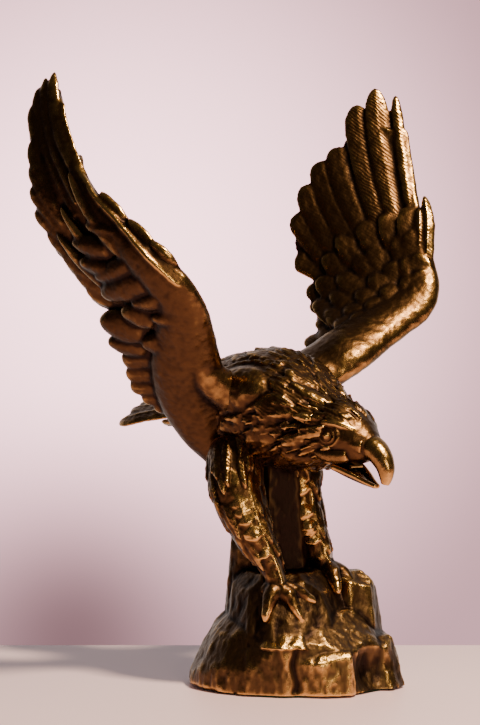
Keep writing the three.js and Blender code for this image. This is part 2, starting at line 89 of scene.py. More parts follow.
def lattice_noise(p: Array, size: float, seed: int) -> Array:
    """Smooth value noise from -1 to 1.

    Args:
        p: places, (n, 3), in millimetres.
        size: distance over which the noise changes.
        seed: picks the pattern.

    Returns:
        One value for each place, blended between random corner values of a cubic lattice.
    """
    q = p / size + seed * 17.31
    base = np.floor(q).astype(np.int64)
    f = smooth(q - base)
    total = np.zeros(len(p))
    for corner in range(8):
        step = np.array([corner & 1, corner >> 1 & 1, corner >> 2 & 1])
        cell = base + step
        mixed = cell[:, 0] * 73856093 ^ cell[:, 1] * 19349663 ^ cell[:, 2] * 83492791 ^ seed * 2654435
        value = ((mixed * 1103515245 + 12345) >> 8 & 0xFFFF) / 32767.5 - 1.0
        total += value * np.prod(np.where(step == 1, f, 1.0 - f), axis=1)
    return total


def layered_noise(p: Array, size: float, seed: int, layers: int = 3) -> Array:
    """Value noise summed over layers, each half as large in size and in height as the one before."""
    return sum(lattice_noise(p, size / 2**k, seed + k) / 2**k for k in range(layers))


# ---------------------------------------------------------------- the bird's own directions
@dataclass(frozen=True)
class Stance:
    """Where the bird stands and which way it faces, in plan."""

    x: float = -15.0
    y: float = 3.0
    heading: float = math.pi / 4

    @property
    def forward(self) -> Array:
        """Unit vector towards the beak."""
        return np.array([math.cos(self.heading), -math.sin(self.heading), 0.0])

    @property
    def left(self) -> Array:
        """Unit vector towards the bird's own left."""
        return np.array([math.sin(self.heading), math.cos(self.heading), 0.0])

    def place(self, rows: object) -> Array:
        """Turns (forward, sideways, height) rows into frame places, in millimetres.

        Args:
            rows: distances ahead of, to the left of and above the ground under the bird.

        Returns:
            The ground place plus each distance along its own unit vector.
        """
        r = np.asarray(rows, float)
        ground = np.array([self.x, self.y, 0.0])
        return ground + r[..., 0:1] * self.forward + r[..., 1:2] * self.left + r[..., 2:3] * UP


STANCE = Stance()


# ---------------------------------------------------------------- gathering shells
class Shells:
    """Closed shells kept as arrays until they are fused."""

    ROUNDED_END = 0.07        # share of a limb's length over which each end closes

    def __init__(self) -> None:
        """Starts with no shells."""
        self.points: list[Array] = []
        self.faces: list[Array] = []
        self.barbs: list[Array] = []
        self.polish_and_painted_light: list[Array] = []
        self.count = 0

    def tubes(self, rings: Array, barbs: float = 0.0, polish_and_painted_light: float = 0.0) -> None:
        """Adds tubes with closed ends.

        Args:
            rings: places, (tubes, stations, points round, 3).
            barbs: how strongly fine feather lines show on them, 0 for smooth metal.
            polish_and_painted_light: how much handling has rubbed them bright, 0 for none; on some pieces it
                stands for painted highlight, on others for painted shade.
        """
        n, na, m, _ = rings.shape
        ends = np.stack([rings[:, 0].mean(1), rings[:, -1].mean(1)], 1)
        points = np.concatenate([rings.reshape(n, -1, 3), ends], 1)
        i, j = np.meshgrid(np.arange(na - 1), np.arange(m), indexing="ij")
        a, b = (i * m + j).ravel(), (i * m + (j + 1) % m).ravel()
        sides = np.concatenate([np.stack([a, b, b + m], 1), np.stack([a, b + m, a + m], 1)])
        k = np.arange(m)
        near = np.stack([np.full(m, na * m), (k + 1) % m, k], 1)
        far = np.stack([np.full(m, na * m + 1), (na - 1) * m + k, (na - 1) * m + (k + 1) % m], 1)
        one = np.concatenate([sides, near, far])
        size = na * m + 2
        faces = one[None] + (np.arange(n) * size)[:, None, None] + self.count
        self.points.append(points.reshape(-1, 3))
        self.barbs.append(np.full(n * size, barbs))
        self.polish_and_painted_light.append(np.full(n * size, polish_and_painted_light))
        self.faces.append(faces.reshape(-1, 3))
        self.count += n * size

    def loft(self, centres: Array, across: Array, upward: Array, a: Array, b: Array, around: int = 40,
             polish_and_painted_light: float = 0.0) -> None:
        """Adds one tube of ellipses: centre + across a cos t + upward b sin t, for t once round.

        Args:
            centres: middle of each ellipse, (stations, 3).
            across, upward: unit vectors of its two half sizes.
            a, b: half sizes along them.
            around: places round each ellipse.
            polish_and_painted_light: how much handling has rubbed it bright; on some pieces it stands for
                painted highlight, on others for painted shade.
        """
        t = np.linspace(0, 2 * np.pi, around, endpoint=False)
        rings = (
            centres[:, None]
            + across[:, None] * (np.asarray(a)[:, None] * np.cos(t))[..., None]
            + upward[:, None] * (np.asarray(b)[:, None] * np.sin(t))[..., None]
        )
        self.tubes(rings[None], 0.0, polish_and_painted_light)

    def limb(self, stations: object, squash: float = 1.0, facing: Array | None = None, steps: int = 40,
             polish_and_painted_light: float = 0.0) -> None:
        """Adds a smooth round limb, a circle of changing radius carried along a smooth curve.

        Args:
            stations: rows of place and radius, (x, y, z, r).
            squash: how much thicker the limb is along `facing` than across it.
            facing: the direction the limb is flattened along.
            steps: stations to draw.
            polish_and_painted_light: how much handling has rubbed it bright; on some pieces it stands for
                painted highlight, on others for painted shade.
        """
        share = 0.5 - 0.5 * np.cos(np.linspace(0, np.pi, steps))
        rows = catmull(stations, share)
        inner = np.clip(1 - np.minimum(share, 1 - share) / self.ROUNDED_END, 0, 1)
        centres, radius = rows[:, :3], rows[:, 3] * np.maximum(np.sqrt(1 - inner**2), 0.05)
        along = unit(np.gradient(centres, axis=0) + 1e-6)
        guide = UP if facing is None else facing
        side = unit(np.cross(along, guide + 1e-3))
        over = unit(np.cross(side, along))
        self.loft(centres, side, over, radius, radius * squash, polish_and_painted_light=polish_and_painted_light)

    def blob(self, centre: Array, sizes: object, turn: float = 0.0) -> None:
        """Adds an egg, the sphere (sin t cos f, sin t sin f, cos t) stretched and turned.

        Args:
            centre: its middle.
            sizes: three half sizes.
            turn: angle about the upright axis, in radians.
        """
        theta = np.linspace(0.02, np.pi - 0.02, 24)
        phi = np.linspace(0, 2 * np.pi, 32, endpoint=False)
        t, f = np.meshgrid(theta, phi, indexing="ij")
        ball = np.stack([np.sin(t) * np.cos(f), np.sin(t) * np.sin(f), np.cos(t)], -1)
        egg = ball * np.asarray(sizes, float)
        c, s = math.cos(turn), math.sin(turn)
        x, y, z = egg[..., 0], egg[..., 1], egg[..., 2]
        self.tubes((np.stack([x * c - y * s, x * s + y * c, z], -1) + centre)[None])

    def rock(self, centre: Array, normals: Array, reach: Array, polish_and_painted_light: float = 0.0) -> None:
        """Adds a convex broken rock: the space behind flat faces.

        Args:
            centre: a place inside.
            normals: outward direction of each face.
            reach: distance of each face from the centre; the skin lies at the nearest face along each ray.
            polish_and_painted_light: how much handling has rubbed it bright; on some crags it stands for
                painted highlight, on others for painted shade.
        """
        theta = np.linspace(0.01, np.pi - 0.01, 64)
        phi = np.linspace(0, 2 * np.pi, 128, endpoint=False)
        t, f = np.meshgrid(theta, phi, indexing="ij")
        ray = np.stack([np.sin(t) * np.cos(f), np.sin(t) * np.sin(f), np.cos(t)], -1)
        facing = ray @ unit(np.asarray(normals, float)).T
        distance = np.where(facing > 1e-3, np.asarray(reach) / np.maximum(facing, 1e-3), 1e9).min(-1)
        self.tubes((centre + ray * distance[..., None])[None], 0.0, polish_and_painted_light)

    def mesh(self, name: str) -> bpy.types.Object:
        """Makes one object of all the shells, in metres.

        Args:
            name: the object's name.

        Returns:
            The object, with `barbs` and `polish_and_painted_light` as point attributes.
        """
        points = np.concatenate(self.points) * MM
        faces = np.concatenate(self.faces).astype(np.int32)
        data = bpy.data.meshes.new(name)
        data.vertices.add(len(points))
        data.vertices.foreach_set("co", points.astype(np.float32).ravel())
        data.loops.add(faces.size)
        data.loops.foreach_set("vertex_index", faces.ravel())
        data.polygons.add(len(faces))
        data.polygons.foreach_set("loop_start", np.arange(0, faces.size, 3, dtype=np.int32))
        data.update(calc_edges=True)
        for label, values in (("barbs", self.barbs), ("polish_and_painted_light", self.polish_and_painted_light)):
            flat = np.concatenate(values).astype(np.float32)
            data.attributes.new(label, "FLOAT", "POINT").data.foreach_set("value", flat)
        thing = bpy.data.objects.new(name, data)
        bpy.context.collection.objects.link(thing)
        return thing


# ---------------------------------------------------------------- feathers
@dataclass(frozen=True)
class Leaf:
    """The outline and section of one kind of feather."""

    tip: float = 0.7          # where along it the rounded end starts
    root: float = 0.55        # width at the root, as a share of the full width
    ridge: float = 0.35       # height of the shaft, as a share of the thickness
    under: float = 0.6        # depth below the middle line, as a share of the thickness
    point: float = 2.0        # 2 is a round end, less is a pointed one
    barbs: float = 1.0        # strength of the fine lines
    flat: float = 2.4         # how flat it is across: 2 is round, 6 is almost flat
    polish_and_painted_light: float = 0.0       # how much handling has rubbed it bright; the shin folds use it for a painted highlight

    TOP = np.array([1, 0.94, 0.78, 0.52, 0.24, 0.09, 0, -0.09, -0.24, -0.52, -0.78, -0.94, -1])
    LOW = np.array([-0.8, -0.4, 0, 0.4, 0.8])
    STATIONS = np.array([0, 0.08, 0.18, 0.3, 0.42, 0.54, 0.65, 0.74, 0.82, 0.88, 0.93, 0.965, 0.988, 1.0])

    def add(self, shells: Shells, root: Array, mid: Array, tip: Array, normal: Array, width: Array,
            thick: Array, twist: Array | float = 0.0) -> None:
        """Adds many feathers of this kind, each a domed section carried along a parabola through three places.

        Args:
            shells: what they are added to.
            root, mid, tip: three places on each feather's middle line, (n, 3).
            normal: outward direction at each feather.
            width, thick: full width and half thickness.
            twist: turn about the feather's own line, in radians.
        """
        a = self.STATIONS
        root, mid, tip = (np.atleast_2d(v)[:, None] for v in (root, mid, tip))
        k = a[None, :, None]
        line = root * (1 - k) * (1 - 2 * k) + mid * 4 * k * (1 - k) + tip * k * (2 * k - 1)
        slope = unit(root * (4 * k - 3) + mid * (4 - 8 * k) + tip * (4 * k - 1))
        out = np.broadcast_to(np.atleast_2d(normal)[:, None], line.shape)
        side = unit(np.cross(slope, out))
        out = unit(np.cross(side, slope))
        turn = np.broadcast_to(np.asarray(twist, float), (len(line),))[:, None, None]
        side, out = side * np.cos(turn) + out * np.sin(turn), out * np.cos(turn) - side * np.sin(turn)
        grow = self.root + (1 - self.root) * smooth(a / 0.45)
        past = np.clip((a - self.tip) / (1 - self.tip), 0, 1)
        closing = np.maximum(1 - past**self.point, 0.0) ** (1 / self.point)
        breadth = np.maximum(grow * closing, 0.04)
        depth = np.maximum(np.sqrt(np.clip(1 - np.clip((a - 0.86) / 0.14, 0, 1) ** 2, 0, 1)), 0.1)
        depth = depth * (0.3 + 0.7 * smooth(a / 0.2))
        across = np.concatenate([self.TOP, self.LOW])
        dome = (1 - np.abs(self.TOP) ** self.flat) ** 0.55 + self.ridge * np.exp(-((self.TOP / 0.11) ** 2))
        sole = -self.under * (1 - np.abs(self.LOW) ** self.flat) ** 0.55
        height = np.concatenate([dome, sole])
        wide = 0.5 * np.broadcast_to(np.asarray(width, float), (len(line),))[:, None, None, None]
        high = np.broadcast_to(np.asarray(thick, float), (len(line),))[:, None, None, None]
        rings = (
            line[:, :, None]
            + side[:, :, None] * wide * (breadth[None, :, None, None] * across[None, None, :, None])
            + out[:, :, None] * high * (depth[None, :, None, None] * height[None, None, :, None])
        )
        shells.tubes(rings, self.barbs, self.polish_and_painted_light)


# ---------------------------------------------------------------- fusing and finishing a casting
def neighbours(data: bpy.types.Mesh) -> tuple[Array, Array]:
    """Both ends of every edge.

    Args:
        data: the mesh.

    Returns:
        Two rows of point numbers, with each edge listed both ways round.
    """
    edges = np.empty(len(data.edges) * 2, dtype=np.int32)
    data.edges.foreach_get("vertices", edges)
    e = edges.reshape(-1, 2)
    return np.concatenate([e[:, 0], e[:, 1]]), np.concatenate([e[:, 1], e[:, 0]])


def averaged(values: Array, ends: tuple[Array, Array], rounds: int, share: float = 1.0) -> Array:
    """Values moved towards the mean of their neighbours.

    Args:
        values: one value or row for each point.
        ends: both ends of every edge, each listed both ways round.
        rounds: how many times they are moved.
        share: how far of the way they move each time.

    Returns:
        The moved values, in the same shape.
    """
    one, other = ends
    size = len(values)
    count = np.maximum(np.bincount(one, minlength=size), 1)
    out = values.astype(float).reshape(size, -1)
    for _ in range(rounds):
        sums = [np.bincount(one, weights=column[other], minlength=size) for column in out.T]
        out = out + share * (np.stack(sums, 1) / count[:, None] - out)
    return out.reshape(values.shape)


def read_points(data: bpy.types.Mesh) -> Array:
    """A mesh's places, in millimetres."""
    flat = np.empty(len(data.vertices) * 3, dtype=np.float32)
    data.vertices.foreach_get("co", flat)
    return flat.reshape(-1, 3).astype(float) / MM


def read_normals(data: bpy.types.Mesh) -> Array:
    """A mesh's outward direction at every place."""
    flat = np.empty(len(data.vertices) * 3, dtype=np.float32)
    data.vertices.foreach_get("normal", flat)
    return flat.reshape(-1, 3).astype(float)


def write_points(data: bpy.types.Mesh, points: Array) -> None:
    """Sets a mesh's places from millimetres."""
    data.vertices.foreach_set("co", (points * MM).astype(np.float32).ravel())
    data.update()


@dataclass(frozen=True)
class Casting:
    """How coarse, soft and rough one casting's skin is, in millimetres."""

    name: str
    voxel: float = 0.8
    softening: int = 2
    coarse: float = 0.25      # height of the uneven modelling
    fine: float = 0.05        # height of the cast grain
    grain: float = 1.6
    seed: int = 1
    stretch: float = 1.0      # less than 1 draws the unevenness out upright
    dents: tuple = ()         # hollows pressed in: (x, y, z, reach, depth)
    floor: float = -1e3       # height of the flat underside

    QUICK = 1.6
    EVEN = 0.46               # wear of even metal
    NEAR = (0.34, 0.22)       # wear added by small ridges, and the height that counts as high
    FAR = (0.2, 1.1)          # the same for large ones

    def fuse(self, shells: Shells) -> bpy.types.Object:
        """Fuses the shells into one skin, softens and roughens it, and measures its ridges.

        Args:
            shells: the closed shells, which may overlap.

        Returns:
            The finished object, with a `wear` attribute that is near 0.5 on even metal, more on ridges and less
            in hollows.
        """
        thing = shells.mesh(self.name)
        bpy.ops.object.select_all(action="DESELECT")
        thing.select_set(True)
        bpy.context.view_layer.objects.active = thing
        data = thing.data
        data.remesh_voxel_size = self.voxel * MM * 1.0
        data.remesh_voxel_adaptivity = 0.0
        data.use_remesh_preserve_attributes = True
        data.use_remesh_fix_poles = False
        bpy.ops.object.voxel_remesh()
        data = thing.data
        ends = neighbours(data)
        points = averaged(read_points(data), ends, self.softening, 0.6)
        write_points(data, points)
        normals = read_normals(data)
        for x, y, z, reach, depth in self.dents:
            far = np.linalg.norm(points - np.array([x, y, z]), axis=1) / reach
            inward = unit(np.array([-x, -y, 1e-3]))
            points = points + inward * (depth * smooth(1.15 - far))[:, None]
        drawn = points * [1.0, 1.0, self.stretch]
        lift = self.coarse * layered_noise(drawn, 5.0, self.seed)
        lift += self.fine * layered_noise(drawn, self.grain, self.seed + 9, 2)
        points = points + normals * lift[:, None]
        points[:, 2] = np.maximum(points[:, 2], self.floor)
        write_points(data, points)
        self.measure(data, points, ends)
        data.shade_smooth()
        LOG.info("%s: %d faces", self.name, len(data.polygons))
        return thing

    def measure(self, data: bpy.types.Mesh, points: Array, ends: tuple[Array, Array]) -> None:
        """Writes `wear`: how far the skin stands out of its smoothed self, near and far, as a share around 0.5.

        Args:
            data: the mesh, whose `barbs` and `polish_and_painted_light` are softened too.
            points: its places, in millimetres.
            ends: both ends of every edge.
        """
        normals = read_normals(data)
        near = averaged(points, ends, 6)
        far = averaged(near, ends, 40)
        small = np.einsum("ij,ij->i", points - near, normals)
        large = np.einsum("ij,ij->i", near - far, normals)
        wear = self.EVEN + self.NEAR[0] * np.tanh(small / self.NEAR[1])
        wear = wear + self.FAR[0] * np.tanh(large / self.FAR[1])
        wear = averaged(np.clip(wear, 0, 1), ends, 1)
        data.attributes.new("wear", "FLOAT", "POINT").data.foreach_set("value", wear.astype(np.float32))
        for label, rounds in (("barbs", 3), ("polish_and_painted_light", 8)):
            values = np.empty(len(points), dtype=np.float32)
            data.attributes[label].data.foreach_get("value", values)
            soft = averaged(values, ends, rounds).astype(np.float32)
            data.attributes[label].data.foreach_set("value", soft)


# ---------------------------------------------------------------- wings
class Sheet:
    """The middle of a wing, as a depth over its front view, bent evenly through a few places."""

    SOFT = 30.0               # square of the distance over which a knot is rounded
    SIDE = 1.5                # step to each side with which a slope is taken

    def __init__(self, places: object) -> None:
        """Solves for the sheet y = sum of w |p - knot| + a + b x + c z.

        Args:
            places: rows of x, y, z that it passes through.
        """
        p = np.asarray(places, float)
        self.knots = p[:, [0, 2]]
        n = len(p)
        flat = np.concatenate([np.ones((n, 1)), self.knots], 1)
        spread = np.linalg.norm(self.knots[:, None] - self.knots[None], axis=-1)
        system = np.block([[spread, flat], [flat.T, np.zeros((3, 3))]])
        self.weights = np.linalg.solve(system, np.concatenate([p[:, 1], np.zeros(3)]))

    def depth(self, xz: Array) -> Array:
        """The y of the sheet over front places (x, z), softened so that it doesn't crease at the knots."""
        spread = np.sqrt(np.sum((xz[..., None, :] - self.knots) ** 2, -1) + self.SOFT)
        n = len(self.knots)
        return spread @ self.weights[:n] + self.weights[n] + xz @ self.weights[n + 1:]

    def at(self, xz: object, lift: Array | float = 0.0) -> Array:
        """Places on the sheet.

        Args:
            xz: front places (x, z).
            lift: how far each is raised towards the viewer.

        Returns:
            Places x, y, z.
        """
        xz = np.asarray(xz, float)
        front = self.facing(xz)
        flat = np.stack([xz[..., 0], self.depth(xz), xz[..., 1]], -1)
        return flat + front * np.broadcast_to(np.asarray(lift, float), xz.shape[:-1])[..., None]

    def facing(self, xz: Array) -> Array:
        """The direction square to the sheet that looks at the viewer.

        Args:
            xz: front places (x, z).

        Returns:
            One unit vector for each place.
        """
        xz = np.asarray(xz, float)
        h = self.SIDE
        dx = self.depth(xz + [h, 0]) - self.depth(xz - [h, 0])
        dz = self.depth(xz + [0, h]) - self.depth(xz - [0, h])
        return unit(np.stack([dx / (2 * h), -np.ones_like(dx), dz / (2 * h)], -1))


class Face(Enum):
    """The side of a wing that feathers lie on."""

    VIEWER = 1.0
    AWAY = -1.0


@dataclass(frozen=True)
class Quills:
    """Single feathers of one layer: rows of root x, z, middle x, z, tip x, z and width."""

    rows: list
    leaf: Leaf
    thick: float = 1.7
    lift: float = 0.0        # height over the sheet at the first feather
    step: float = 0.0        # how much lower each next one lies
    rise: float = 0.5        # how much higher the tip lies than the root
    tilt: float = -0.14
    backing: bool = False    # wider thin feather beneath, to close gaps


@dataclass(frozen=True)
class Band:
    """A row of small feathers whose tips follow one curve and whose roots lie towards another."""

    tips: list
    aims: list
    count: int
    length: float
    width: float
    thick: float
    lift: float
    leaf: Leaf
    tilt: float = -0.12
    face: Face = Face.VIEWER


@dataclass
class Wing:
    """A wing modelled over a sheet: an arm, a web, long feathers and rows of small ones."""

    BACKING_LENGTH = 0.76     # of the feather it lies under
    BACKING_WIDTH = 1.5

    name: str
    sheet: Sheet
    arm: list                # rows of x, z, radius, height over the sheet
    web: list                # rows of arm x, z and edge x, z
    quills: list
    bands: list
    seed: int = 3
    depth: float = 0.8       # thickness of the arm as a share of its width
    panel: float = 0.45      # how much handling has rubbed the arm bright; below 0 it darkens the arm as painted shade
    polish_and_painted_light: float = 0.0      # how much handling has rubbed the arm bright
    ridges: tuple = ()       # further limbs: rows of x, z, radius, height over the sheet
    crest: tuple = ()        # an edge along the arm, lightened as a painted highlight, in the same rows

    def build(self) -> bpy.types.Object:
        """Models the wing and fuses it.

        Returns:
            The finished object.
        """
        shells = Shells()
        dice = np.random.default_rng(self.seed)
        self.add_arm(shells)
        self.add_web(shells)
        for group in self.quills:
            self.add_quills(shells, group, dice)
        for band in self.bands + self.hidden_bands():
            self.add_band(shells, band, dice)
        cast = Casting(self.name, voxel=0.75, softening=4, coarse=0.22, fine=0.03, seed=self.seed)
        return cast.fuse(shells)

    def add_arm(self, shells: Shells) -> None:
        """The smooth muscled arm along the leading edge.

        Args:
            shells: what it is added to.
        """
        share = np.linspace(0, 1, 90)
        rows = catmull(self.arm, share)
        centres = self.sheet.at(rows[:, :2], rows[:, 3])
        along = unit(np.gradient(centres, axis=0))
        front = self.sheet.facing(rows[:, :2])
        side = unit(np.cross(along, front))
        over = unit(np.cross(side, along))
        _, edge = self.lines(share)
        inward = np.sign(np.sum((self.sheet.at(edge) - centres) * side, -1, keepdims=True).mean())
        extra = self.panel * smooth((1 - share) / 0.5)
        shifted = centres + side * inward * rows[:, 2:3] * extra[:, None]
        shells.loft(shifted, side, over, rows[:, 2] * (1 + extra), rows[:, 2] * self.depth, 64, self.polish_and_painted_light)
        for ridge in self.ridges:
            self.add_ridge(shells, ridge, 40, 0.0)
        # the crest is lightened with polish 0.5 as a painted highlight line
        if self.crest:
            self.add_ridge(shells, self.crest, 60, 0.5)

    def add_ridge(self, shells: Shells, line: tuple, steps: int, polish_and_painted_light: float) -> None:
        """A limb that follows the sheet.

        Args:
            shells: what it is added to.
            line: rows of x, z, radius, height over the sheet.
            steps: places taken along it; the limb has half as many again.
            polish_and_painted_light: how much handling has rubbed it bright; the crest uses it for a painted
                highlight.
        """
        r = catmull(line, np.linspace(0, 1, steps))
        rows = np.concatenate([self.sheet.at(r[:, :2], r[:, 3]), r[:, 2:3]], 1)
        shells.limb(rows, steps=steps * 3 // 2, polish_and_painted_light=polish_and_painted_light)

    def add_web(self, shells: Shells) -> None:
        """The metal beneath the small feathers, from the arm towards the trailing edge.

        Args:
            shells: what it is added to.
        """
        s = np.linspace(0, 1, 80)
        root, end = self.lines(s)
        k = np.linspace(-1, 1, 15)[None, :, None]
        span = 0.5 * (root + end)[:, None] + 0.5 * (end - root)[:, None] * k
        swell = np.sqrt(np.maximum(1 - k[..., 0] ** 4, 0.0)) * 2.3 + 0.15
        front = self.sheet.at(span, swell)
        rear = self.sheet.at(span, -swell)[:, ::-1]
        shells.tubes(np.concatenate([front, rear], 1)[None])

    def lines(self, s: Array) -> tuple[Array, Array]:
        """Where the web starts and ends.

        Args:
            s: share of the way to the wing's tip.

        Returns:
            Front places on the arm, and front places on the trailing edge.
        """
        row = catmull(self.web, s)
        return row[..., :2], row[..., 2:]

    def hidden_bands(self) -> list:
        """Rows of plain feathers for the face that the viewer does not see.

        Returns:
            The rows, from the trailing edge to the arm.
        """
        shares = np.linspace(0.04, 0.8, 9)
        root, end = self.lines(shares)
        kind = Leaf(tip=0.55, root=0.75, ridge=0.25, under=0.6)
        made = []
        for reach, lift in ((0.98, 1.6), (0.74, 2.6), (0.5, 3.4), (0.28, 4.4)):
            tips = root + (end - root) * reach
            long = min(26.0, 0.85 * reach * float(np.linalg.norm(end - root, axis=1).min()))
            made.append(Band(tips.tolist(), root.tolist(), 14, long, 12.5, 2.1, lift, kind, 0.12, Face.AWAY))
        return made

    def add_quills(self, shells: Shells, group: Quills, dice: np.random.Generator) -> None:
        """Adds feathers given one by one.

        Args:
            shells: what they are added to.
            group: their places and kind.
            dice: source of the unevenness.
        """
        q = np.asarray(group.rows, float)
        n = len(q)
        lift = group.lift - group.step * np.arange(n)
        root = self.sheet.at(q[:, 0:2], lift)
        mid = self.sheet.at(q[:, 2:4], lift + 0.4 * group.thick)
        tip = self.sheet.at(q[:, 4:6], lift + group.rise)
        front = self.sheet.facing(q[:, 2:4])
        tilt = group.tilt + 0.03 * dice.standard_normal(n)
        group.leaf.add(shells, root, mid, tip, front, q[:, 6], np.full(n, group.thick), tilt)
        if group.backing:
            under = Leaf(tip=0.7, root=0.8, ridge=0.0, under=1.0, barbs=0.0)
            end = root + (tip - root) * self.BACKING_LENGTH
            low = front * 0.9
            wide = q[:, 6] * self.BACKING_WIDTH
            under.add(shells, root - low, mid - low, end - low, front, wide, np.full(n, 1.5), 0.0)

    def add_band(self, shells: Shells, band: Band, dice: np.random.Generator) -> None:
        """Adds a row of small feathers, slightly uneven.

        Args:
            shells: what they are added to.
            band: the row.
            dice: source of the unevenness.
        """
        s = np.linspace(0, 1, band.count) + 0.12 / band.count * dice.standard_normal(band.count)
        tips, aims = catmull(band.tips, s), catmull(band.aims, s)
        back = unit(aims - tips)
        reach = 0.92 * np.linalg.norm(aims - tips, axis=1)
        uneven = 1 + 0.08 * dice.standard_normal(band.count)
        length = np.minimum(band.length * uneven, reach)[:, None]
        tips = tips - back * 0.5 * dice.standard_normal((band.count, 1))
        way = band.face.value
        root = self.sheet.at(tips + back * length, way * (band.lift - 1.5 * band.thick))
        mid = self.sheet.at(tips + back * 0.5 * length, way * (band.lift + 0.2 * band.thick))
        tip = self.sheet.at(tips, way * (band.lift + 0.3 * band.thick))
        front = self.sheet.facing(tips) * way
        tilt = band.tilt + 0.05 * dice.standard_normal(band.count)
        width = band.width * (1 + 0.06 * dice.standard_normal(band.count))
        band.leaf.add(shells, root, mid, tip, front, width, np.full(band.count, band.thick), tilt)


def left_wing() -> Wing:
    """The bird's left wing, whose back the viewer sees.

    Returns:
        The wing, not yet built.
    """
    sheet = Sheet([
        (-1, 9, 160), (30, 24, 178), (70, 43, 199), (77, 48, 210), (73, 63, 250), (68, 81, 296),
        (66, 89, 317),
        (50, 92, 336), (28, 92, 301), (10, 91, 280), (1, 84, 236), (10, 72, 207), (4, 49, 178),
    ])
    arm = [
        (-4, 157, 12, 0), (10, 163, 13, 1), (25, 172, 12.5, 1), (41, 183, 11, 1), (57, 194.5, 10, 1),
        (70, 204, 9.5, 1), (76, 216, 8.5, 1), (75.5, 230, 6.6, 1), (73, 246, 5, 1),
        (71, 266, 3.6, 0.5), (69, 290, 2.4, 0),
    ]
    web = [
        (8, 163, 7, 178), (24, 173, 12, 185), (40, 184, 18, 197), (56, 194, 20, 208), (68, 203, 20, 219),
        (75, 213, 15, 233), (76, 226, 15, 252), (74, 240, 22, 268), (72, 256, 31, 285), (70, 272, 40, 298),
        (69, 292, 48, 314), (66, 312, 55, 325),
    ]
    long = Leaf(tip=0.78, root=0.75, ridge=0.12, under=1.0, point=2.0)
    broad = Leaf(tip=0.8, root=0.7, ridge=0.15, under=1.0, point=2.1, barbs=0.3, polish_and_painted_light=-0.1)
    flight = [
        (71, 250, 65.8, 293, 62, 331, 7.5), (65, 242, 55, 291, 50.5, 335.5, 15),
        (60, 233, 45, 287, 40, 326, 17),
        (55, 227, 35.5, 273, 29.5, 301, 18), (51, 221, 28.5, 262, 18.5, 293, 18),
        (48, 216, 23, 250, 9.5, 279, 18),
        (45, 213, 19.5, 240, 4, 262, 18), (45, 207, 22, 226, 2.5, 235, 18), (41, 197, 25, 208, 11, 219, 15),
        (38, 191, 25, 201, 13, 210, 14), (33, 185, 24, 192, 18, 200, 14), (29, 180, 18, 184, 10, 189, 14),
        (26, 175, 14, 178, 4, 178, 14),
    ]
    alula = [(77, 226, 79, 250, 77.5, 269.5, 8.5), (73, 230, 74.5, 248, 74.5, 262, 9)]
    scale = Leaf(tip=0.5, root=0.75, ridge=0.1, under=0.5, flat=4.0, barbs=0.2, polish_and_painted_light=-0.1)
    arm_side = [(76, 218), (74, 211), (69, 204), (56, 195), (40, 186)]
    bands = [
        Band([(67, 263), (46, 257), (27, 246), (17, 228), (15, 208)], arm_side, 7, 34, 17, 1.2, 3.4, scale),
        Band([(70, 249), (53, 243), (36, 233), (26, 217), (22, 202)], arm_side, 7, 28, 16, 1.2, 4.2, scale),
        Band([(73, 235), (60, 231), (46, 221), (35, 207), (28, 194)], arm_side, 7, 22, 15, 1.2, 5.0, scale),
        Band([(73, 223), (59, 217), (47, 208), (39, 198)], arm_side, 5, 18, 14, 1.2, 5.8, scale),
    ]
    quills = [
        Quills(flight[:3], long, thick=1.8, lift=1.6, step=0.22, backing=True),
        Quills(flight[3:], broad, thick=1.8, lift=0.95, step=0.22, backing=True),
        Quills(alula, Leaf(tip=0.55, point=1.7, root=0.9, polish_and_painted_light=0.3), thick=2.4, lift=2.0),
    ]
    return Wing("left_wing_casting", sheet, arm, web, quills, bands, seed=5)


